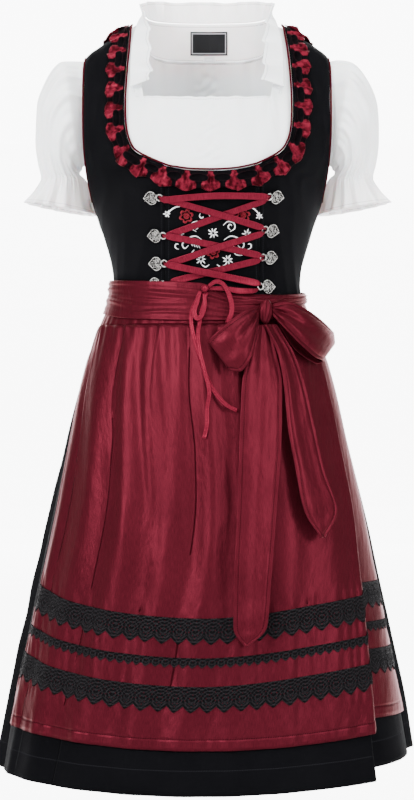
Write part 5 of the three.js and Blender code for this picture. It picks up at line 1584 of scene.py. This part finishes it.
LACE_TAIL_SHORT = table(
    "x z out wide",
    (0, -348.5, 9.7, 3),
    (-4, -362, 9.6, 4),
    (-8, -377, 9.6, 5),
    (-10, -391, 11, 5),
    (-12, -404, 13.6, 5),
    (-10, -424, 15.5, 5),
    (-3, -452, 16, 5),
    (3, -478, 15.5, 5),
    (0, -500, 12.5, 5),
    (0, -520, 12, 5),
    (-4, -539, 12, 5),
)


def seen_ribbon(name, tab):
    turn, height = seen(tab["x"], tab["z"], tab["out"])
    centres, normals = skin(turn, height, tab["out"]), square_to(turn, height)
    return ribbon(name, centres, tab["wide"], normals, (name,), per=9, flutter=0.18)


seen_ribbon("lacing_8", LACE_TO_KNOT)
seen_ribbon("lacing_loop_left", LACE_LOOP_LEFT)
seen_ribbon("lacing_loop_right", LACE_LOOP_RIGHT)
for name, tab in (("lacing_tail_long", LACE_TAIL_LONG), ("lacing_tail_short", LACE_TAIL_SHORT)):
    piece, line = seen_ribbon(name, tab)

up = np.linspace(0.03, np.pi - 0.03, 22)[:, None]
around = np.linspace(0, 2 * np.pi, 41)[None, :-1]
folds = 1 + 0.09 * np.sin(around * 4 + 2 * up) * np.sin(up)
ball = np.stack(
    [4.6 * np.sin(up) * np.cos(around) * folds, 3.4 * np.sin(up) * np.sin(around) * folds, 5 * np.cos(up) + 0 * around],
    -1,
)
ball = ball + before(-3, -344, 12.9)
rows, cols = ball.shape[:2]
faces = [
    (r * cols + c, (r + 1) * cols + c, (r + 1) * cols + (c + 1) % cols, r * cols + (c + 1) % cols)
    for r in range(rows - 1) for c in range(cols)
]
faces.append(tuple(range(cols)))
faces.append(tuple((rows - 1) * cols + c for c in range(cols))[::-1])
flat_ball = ball.reshape(-1, 3)
uv = [(flat_ball[i][0], flat_ball[i][2]) for face in faces for i in face]
place("lacing_knot", flat_ball, faces, LACING_SATIN, ("lacing_knot",), uv=uv)

# ---------------------------------------------------------------- embroidery
STITCH_OUT = 0.35


def thread(spots, wide, taper=True, per=5):
    """A raised stitched line on the bodice front, from x and z places that the camera sees."""
    line = smooth_line([(x, z, 0) for x, z in spots], per)
    turn, height = seen(line[:, 0], line[:, 1], STITCH_OUT)
    points = skin(turn, height, STITCH_OUT)
    s = np.linspace(0, 1, len(points))
    radius = wide / 2 * (np.sin(np.pi * np.clip(s, 0.06, 0.94)) ** 0.55 if taper else np.ones(len(s)))
    return tube(points, radius, 6, square_to(turn, height))


def star_flower(x, z, size, petals, start=0.0):
    parts = []
    for k in range(petals):
        a = start + 2 * math.pi * k / petals
        near, far = size * 0.22, size * (1.0 if k % 2 else 0.82)
        bent = a + 0.06
        petal = [
            (x + near * math.cos(a), z + near * math.sin(a)),
            (x + 0.6 * far * math.cos(bent), z + 0.6 * far * math.sin(bent)),
            (x + far * math.cos(a), z + far * math.sin(a)),
        ]
        parts.append(thread(petal, 1.7, per=4))
    return parts


def curl(x, z, size, start, sweep, wide=1.7):
    """A scroll that opens as it goes."""
    spots = []
    for k in range(9):
        t = k / 8
        a = start + sweep * t
        r = size * (0.25 + 0.75 * t)
        spots.append((x + r * math.cos(a), z + r * math.sin(a)))
    return thread(spots, wide, per=3)


def rose(x, z, size):
    """A rose of red thread: two whirls of petals."""
    parts = []
    spots = []
    for k in range(15):
        t = k / 14
        a = 1.1 + 4.6 * math.pi * t
        spots.append((x + size * 0.5 * t * math.cos(a), z + size * 0.5 * t * math.sin(a)))
    parts.append(thread(spots, 1.9, per=4))
    for k in range(6):
        a = 2 * math.pi * k / 6 + 0.3
        spots = []
        for j in range(5):
            bulge = 0.62 + 0.3 * math.sin(math.pi * j / 4)
            way = a + (j - 2) * 0.24
            spots.append((x + size * bulge * math.cos(way), z + size * bulge * math.sin(way)))
        parts.append(thread(spots, 3.0, per=4))
    return parts


white, red = [], []
red += rose(-27, -250, 9) + rose(47, -249, 9) + rose(8, -297, 8.5)
white += star_flower(-8, -306, 7.5, 8) + star_flower(27, -307, 7.5, 8, 0.3)
white += star_flower(-35, -273, 6.5, 7) + star_flower(52, -273, 6.5, 7, 0.4)
white += star_flower(-52, -247, 5, 6) + star_flower(68, -250, 5, 6, 0.5) + star_flower(8, -272, 7.5, 8, 0.2)
for side, middle in ((-1, 7), (1, 9)):
    m = lambda offset: middle + side * offset
    flip = lambda a: a if side > 0 else math.pi - a
    white.append(thread([(m(36), -237), (m(47), -238), (m(55), -243), (m(60), -251)], 2.0))
    white.append(thread([(m(12), -262), (m(18), -257), (m(26), -259), (m(27), -266), (m(21), -270)], 1.8))
    white.append(curl(m(22), -263, 4.5, flip(0.4), side * 4.2))
    vine = [(m(13), -281), (m(22), -276), (m(32), -279), (m(39), -286), (m(36), -292), (m(31), -288)]
    white.append(thread(vine, 1.9))
    white.append(curl(m(45), -288, 5, flip(2.2), side * -4.0))
    white.append(thread([(m(6), -246), (m(3), -251), (m(4), -256)], 1.7))
    white.append(curl(m(13), -250, 4.4, flip(3.4), side * 3.8))
    white.append(thread([(m(24), -294), (m(29), -300), (m(37), -301)], 1.7))
    white.append(thread([(m(4), -313), (m(9), -316), (m(14), -313)], 1.7))
    for k in range(4):
        white.append(thread([(m(16 + 3.2 * k), -292 + k), (m(18 + 3.2 * k), -288 + k)], 1.5))
heap("embroidery_white", white, WHITE_THREAD)
heap("embroidery_red", red, RED_THREAD)

# ---------------------------------------------------------------- blouse
BLOUSE_HEM = -292
BLOUSE_ARM = {"half": 149, "top": -36, "foot": -191}
BLOUSE_FRONT_NECK = table(
    "t turn z", (0, 0, -103), (0.3, 17, -102), (0.5, 31.5, -100), (0.56, 34, -92), (0.66, 37, -56), (0.74, 47, -22),
    (0.8, 89.5, 2), (1, 89.5, -36),
)
BLOUSE_BACK_NECK = table(
    "t turn z",
    (0, 0, -38), (0.3, 16, -38), (0.48, 28, -34), (0.6, 42, -20), (0.7, 62, -4), (0.78, 89.5, 4), (1, 89.5, -36),
)


def blouse_spot(neck, down, across):
    side = abs(across)
    mid_top = neck["z"][0]
    shoulder = float(read(neck, "t", "turn", side)), float(read(neck, "t", "z", side))
    arm_share = 0.66
    edge = 89.8, mix(BLOUSE_ARM["foot"], BLOUSE_HEM, (down - arm_share) / (1 - arm_share))
    if down < arm_share:
        z = mix(BLOUSE_ARM["top"], BLOUSE_ARM["foot"], (down / arm_share) ** 1.1)
        reach = read(BODY, "z", "half", z) + BLOUSE_UNDER
        turn = math.degrees(math.asin(min(0.9999, BLOUSE_ARM["half"] / reach)))
        foot = max(0, (down / arm_share - 0.75) / 0.25) ** 2
        edge = mix(turn, 89.8, foot), z
    flat = edge[0] * side, mix(mix(mid_top, BLOUSE_HEM, down), edge[1], side)
    first = 89.5 * side, mix(mid_top, BLOUSE_ARM["top"], side)
    fade = max(0, 1 - down / 0.5) ** 1.5
    turn = flat[0] + (shoulder[0] - first[0]) * fade
    return math.copysign(turn, across), flat[1] + (shoulder[1] - first[1]) * fade


BLOUSE_ACROSS = [-1, -0.9, -0.8, -0.74, -0.66, -0.56, -0.5, -0.3, -0.1, 0.1, 0.3, 0.5, 0.56, 0.66, 0.74, 0.8, 0.9, 1]
BLOUSE_BACK_ACROSS = [-1, -0.89, -0.78, -0.7, -0.6, -0.48, -0.3, -0.1, 0.1, 0.3, 0.48, 0.6, 0.7, 0.78, 0.89, 1]
BLOUSE_DOWN = [0, 0.08, 0.18, 0.3, 0.44, 0.55, 0.66, 0.82, 1]


def blouse_panel(name, neck, across, turned_round, seed):
    spots = np.array([[blouse_spot(neck, down, a) for a in across] for down in BLOUSE_DOWN])
    turn = 180 - spots[..., 0] if turned_round else spots[..., 0]
    fine = finer(skin(turn, spots[..., 1], BLOUSE_UNDER + COTTON / 2), 12, 9)
    u, v = lengths(fine, 1), lengths(fine, 0)
    u = u - u[:, u.shape[1] // 2][:, None]
    normal = squares(fine)
    normal = np.where((normal * (fine * [1, 1, 0])).sum(-1, keepdims=True) < 0, -normal, normal)
    top = np.exp(-v / 26)
    gathers = 0.75 * np.sin(u / 2.6 + 1.4 * np.sin(u / 13)) * top
    middle = np.exp(-((u / 15) ** 2)) * bump_between(v, 12, 100, 20)
    crossing = np.sin((u * 0.5 + v * 0.8) / 1.9 + 1.4 * np.sin(v / 7) + np.sin(u / 5))
    gathers = gathers + middle * (1.1 * crossing + 0.7 * np.sin((v * 0.9 - u * 0.6) / 2.7 + np.sin(u / 4)))
    soft = 1.1 * ripple(u, v * 0.6, seed, 46)
    height = np.clip(gathers + soft, -2.2, 1.7)
    edge = np.where(v < 8, v, 9)
    return cloth(name, fine + normal * height[..., None], 0.8, WHITE_HEMMED, (name,), marks={"edge": edge})


blouse_panel("blouse_front", BLOUSE_FRONT_NECK, BLOUSE_ACROSS, False, 41)
blouse_panel("blouse_back", BLOUSE_BACK_NECK, BLOUSE_BACK_ACROSS, True, 43)

BAND = table(
    "t x y high",
    (0, 0, 66, 8), (0.3, 38, 61, 8), (0.48, 62, 50, 8), (0.6, 75, 34, 8.5), (0.7, 81, 17, 10), (0.77, 84, 4, 11),
)


def band_point(t, up):
    side, sign = np.abs(t), np.sign(t)
    turn = 180 - sign * read(BLOUSE_BACK_NECK, "t", "turn", side)
    low = skin(turn, read(BLOUSE_BACK_NECK, "t", "z", side), BLOUSE_UNDER + COTTON / 2)
    low = low + np.stack([0 * side, 0 * side, COTTON / 2 + SEAM_GAP + 0.8 + 0.9 * side], -1)
    high = np.stack([sign * read(BAND, "t", "x", side), read(BAND, "t", "y", side), read(BAND, "t", "high", side)], -1)
    return mix(low, high, up[..., None])


up, t = np.meshgrid(np.linspace(-0.1, 1, 16), np.linspace(-0.72, 0.72, 161), indexing="ij")
band = band_point(t, up)
v = lengths(band, 0)
band = band + squares(band) * (0.35 * ripple(lengths(band, 1), v, 51, 24))[..., None]
band_edge = {"edge": np.minimum(v, v[-1:] - v)}
cloth("collar_band", band, 0.9, WHITE_HEMMED, ("collar_band",), marks=band_edge)

FRILL = table(
    "s x y z edge_x edge_y edge_z",
    (0, 0, 66, 8.9, 0, 74, 38),
    (1, 30, 63, 8.9, 32, 70, 38),
    (2, 58, 53, 9, 60, 60, 37),
    (3, 75, 34, 9.8, 80, 38, 34),
    (4, 81, 17, 12.4, 88, 12, 27),
    (5, 86, 2, 9, 82, -12, 16),
    (6, 93, -22, -11, 75, -34, -8),
    (7, 97, -46, -36, 73, -60, -35),
    (8, 98, -66, -64, 72, -84, -64),
    (9, 98, -83, -91, 72, -99, -84),
)
FRILL_WAVES = 17
over, t = np.meshgrid(np.linspace(0, 1, 18), np.linspace(0, 1, 409), indexing="ij")
at = (t - 0.5) * 18
sign, far = np.sign(at), np.abs(at)
frill_at = lambda key: read(FRILL, "s", key, far)
low = np.stack([sign * frill_at("x"), frill_at("y"), frill_at("z")], -1)
high = np.stack([sign * frill_at("edge_x"), frill_at("edge_y"), frill_at("edge_z")], -1)
p = mix(low, high, over[..., None])
lean = np.clip((far - 3.5) / 2, 0, 1)
turns = 2 * np.pi * FRILL_WAVES * t
uneven = 1 + 0.3 * np.sin(turns / 2.7) + 0.15 * np.sin(turns / 1.6)
wave = (1 + 3.2 * over) * (np.sin(turns) + 0.35 * np.sin(2 * turns + 0.7)) * over * 0.85 * uneven
fine_gather = 0.35 * np.sin(turns * 4) * (1 - over)
p[..., 1] += (wave * 0.8 + fine_gather) * np.where(lean > 0.5, -1, 1) + over * 1.5
p[..., 2] += wave * lean * 0.4 + 0.9 * over * (1 - lean) * np.sin(turns * 0.5 + 0.6)
p[..., 0] += sign * wave * lean * 0.55 + (1 - lean) * over * 1.3 * np.sin(2 * turns + 0.4)
v = lengths(p, 0)
cloth("collar_frill", p, 0.7, WHITE_HEMMED, ("collar_frill",), marks={"edge": v[-1:] - v})

SLEEVE = table(
    "s out_x out_z in_x in_z out_y in_y deep wave",
    (0, 152, -51, 156, -183, 0, 0, 29, 0),
    (1, 164.5, -51, 162, -185.5, 0, 0, 33, 0.4),
    (2, 186, -53, 163.5, -189, 0, 1, 60, 1.2),
    (3, 208, -76, 165.5, -190.6, 0, 3, 66, 1.5),
    (4, 220, -110, 166.5, -193, 0, 5, 66, 1.6),
    (5, 222, -150, 166, -196, 0, 8, 60, 1.5),
    (6, 218, -182, 161.5, -199.5, 0, 12, 52, 1.2),
    (7, 214, -200, 158, -204, 0, 16, 47, 1),
    (8, 222, -216, 153, -224, 0, 24, 51, 2.2),
    (9, 235, -233, 146, -247, -2, 36, 58, 4),
)


def sleeve(name, sign, seed):
    """Puffed sleeve: gathered at the armhole and at the elastic, with a flounce below it."""
    s = np.linspace(0, 9, 100)[:, None]
    angle = np.linspace(0, 2 * np.pi, 253)[None, :-1]
    get = lambda key: read(SLEEVE, "s", key, s) + 0 * angle
    outer = np.stack([sign * get("out_x"), get("out_y"), get("out_z")], -1)
    inner = np.stack([sign * get("in_x"), get("in_y"), get("in_z")], -1)
    centre, arm = (outer + inner) / 2, (outer - inner) / 2
    calm = 0.5 + 0.5 * np.minimum(1, 0.6 + np.cos(angle))
    rng = np.random.default_rng(seed)
    bend = sum(rng.uniform(0.2, 0.6) * np.sin(k * angle + rng.uniform(0, 6.3)) for k in (1, 2, 3))
    lines = 14 * angle + bend * 1.6
    uneven = 1 + 0.35 * np.sin(3 * angle + seed)
    broad = np.cos(lines) * get("wave") * uneven
    near_top = np.exp(-((s / 1.2) ** 2)) * np.clip(s * 3, 0, 1)
    near_elastic = np.exp(-(((s - 7) / 0.75) ** 2))
    fine = np.cos(3 * lines + 0.6 * np.sin(s * 2)) * 0.9 + 0.5 * np.cos(5 * lines + 1.1)
    fine = fine * (0.7 * near_top + 1.25 * near_elastic)
    reach = np.exp(-(((s - 5.9) / 1.1) ** 2)) * np.cos(2 * lines + 0.5)
    reach = reach + np.exp(-(((s - 2.2) / 1.3) ** 2)) * np.cos(2 * lines) * 0.9
    soft = 1.1 * ripple(angle * 60, s * 24, seed, 62) * np.sin(np.pi * np.clip(s / 7, 0, 1)) ** 0.5
    flounce = np.clip(s - 7.4, 0, 2) * 0.5 * np.cos(2 * lines + 1.0)
    casing = -1.1 * (np.exp(-(((s - 6.86) / 0.05) ** 2)) + np.exp(-(((s - 7.16) / 0.05) ** 2)))
    swell = 1 + calm * (broad + fine + reach + soft + flounce + casing) / 50
    y = get("deep") * np.sin(angle) * swell
    points = centre + arm * (np.cos(angle) * swell)[..., None] + np.stack([0 * y, y, 0 * y], -1)
    v = lengths(points, 0)
    return cloth(name, points, 0.8, WHITE_HEMMED, (name,), True, marks={"edge": v[-1:] - v})


sleeve("sleeve_left", -1, 5)
sleeve("sleeve_right", 1, 9)

# ---------------------------------------------------------------- label and size tab
def weave_label(node, name, cloth_colour, border):
    """Gives a flat label of the solids its own weave and border, centred on it."""
    low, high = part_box(node)
    middle = [(a + b) / 2 for a, b in zip(low, high)]
    half = [(b - a) / 2 for a, b in zip(low, high)]
    materials = frame["nodes"][node].data.materials
    materials.clear()
    materials.append(label_look(name, cloth_colour, border, middle[0], half[0], middle[2], half[2]))


weave_label("neck_label", "label_weave", (0.0032, 0.0032, 0.0040), (0.34, 0.33, 0.35))
weave_label("size_tab", "tab_weave", (0.78, 0.78, 0.80), (0.68, 0.68, 0.70))

# ---------------------------------------------------------------- floor and light
FLOOR_Z = -1.06


def studio():
    """A pale floor, a lit backdrop that curves up behind it, and soft boxes at both sides and above."""
    curve = [(0.2, FLOOR_Z), (7.0, FLOOR_Z)]
    curve += [(7.0 + 2.0 * math.sin(a), FLOOR_Z + 2.0 - 2.0 * math.cos(a)) for a in np.linspace(0.1, math.pi / 2, 12)]
    curve += [(9.0, 6.0)]
    for name, profile, glow in (("floor", [(-7.0, FLOOR_Z), (0.2, FLOOR_Z)], 0.0), ("backdrop", curve, 7.0)):
        look = Look(f"pale_{name}")
        grain = look.noise(look.coords.outputs["Object"], 3, 2)
        surface = look.finish(
            look.blend(grain, (0.70, 0.70, 0.71), (0.75, 0.75, 0.75)), 0.9, Specular_IOR_Level=0.1,
            Emission_Color=(1.0, 1.0, 1.0), Emission_Strength=glow,
        )
        points = [(x, y, z) for y, z in profile for x in (-6, 6)]
        faces = [(2 * i, 2 * i + 1, 2 * i + 3, 2 * i + 2) for i in range(len(profile) - 1)]
        mesh = bpy.data.meshes.new(name)
        mesh.from_pydata(points, [], faces)
        mesh.materials.append(surface)
        ground = bpy.data.objects.new(name, mesh)
        bpy.context.scene.collection.objects.link(ground)
    boxes = [
        ("soft_box_left", (-2.3, -2.6, 0.9), 1.5, 210),
        ("soft_box_right", (2.5, -2.4, 0.5), 1.5, 115),
        ("soft_box_top", (0, -0.6, 2.3), 2.0, 105),
        ("soft_box_back", (0, 2.0, 1.6), 2.2, 50),
        ("soft_box_front", (0.3, -3.1, 1.0), 1.6, 58),
    ]
    for name, spot, size, power in boxes:
        light = bpy.data.lights.new(name, "AREA")
        light.shape = "SQUARE"
        light.size = size
        light.energy = power
        lamp = bpy.data.objects.new(name, light)
        lamp.location = spot
        aim = np.array([0, 0, -0.45]) - np.array(spot)
        yaw = math.atan2(aim[0], -aim[1])
        pitch = math.atan2(math.hypot(aim[0], aim[1]), -aim[2])
        lamp.rotation_euler = (pitch, 0, math.pi + yaw)
        bpy.context.scene.collection.objects.link(lamp)
    world = bpy.data.worlds.new("studio")
    bpy.context.scene.world = world
    world.use_nodes = True
    world.node_tree.nodes["Background"].inputs["Color"].default_value = (1, 1, 1, 1)
    world.node_tree.nodes["Background"].inputs["Strength"].default_value = 0.78


studio()


def declare_sheets():
    made = [ob for ob in bpy.data.objects if ob.type == "MESH" and ob.name not in frame["nodes"]]
    pieces = {ob.name.split(".")[0]: ob for ob in made}


declare_sheets()
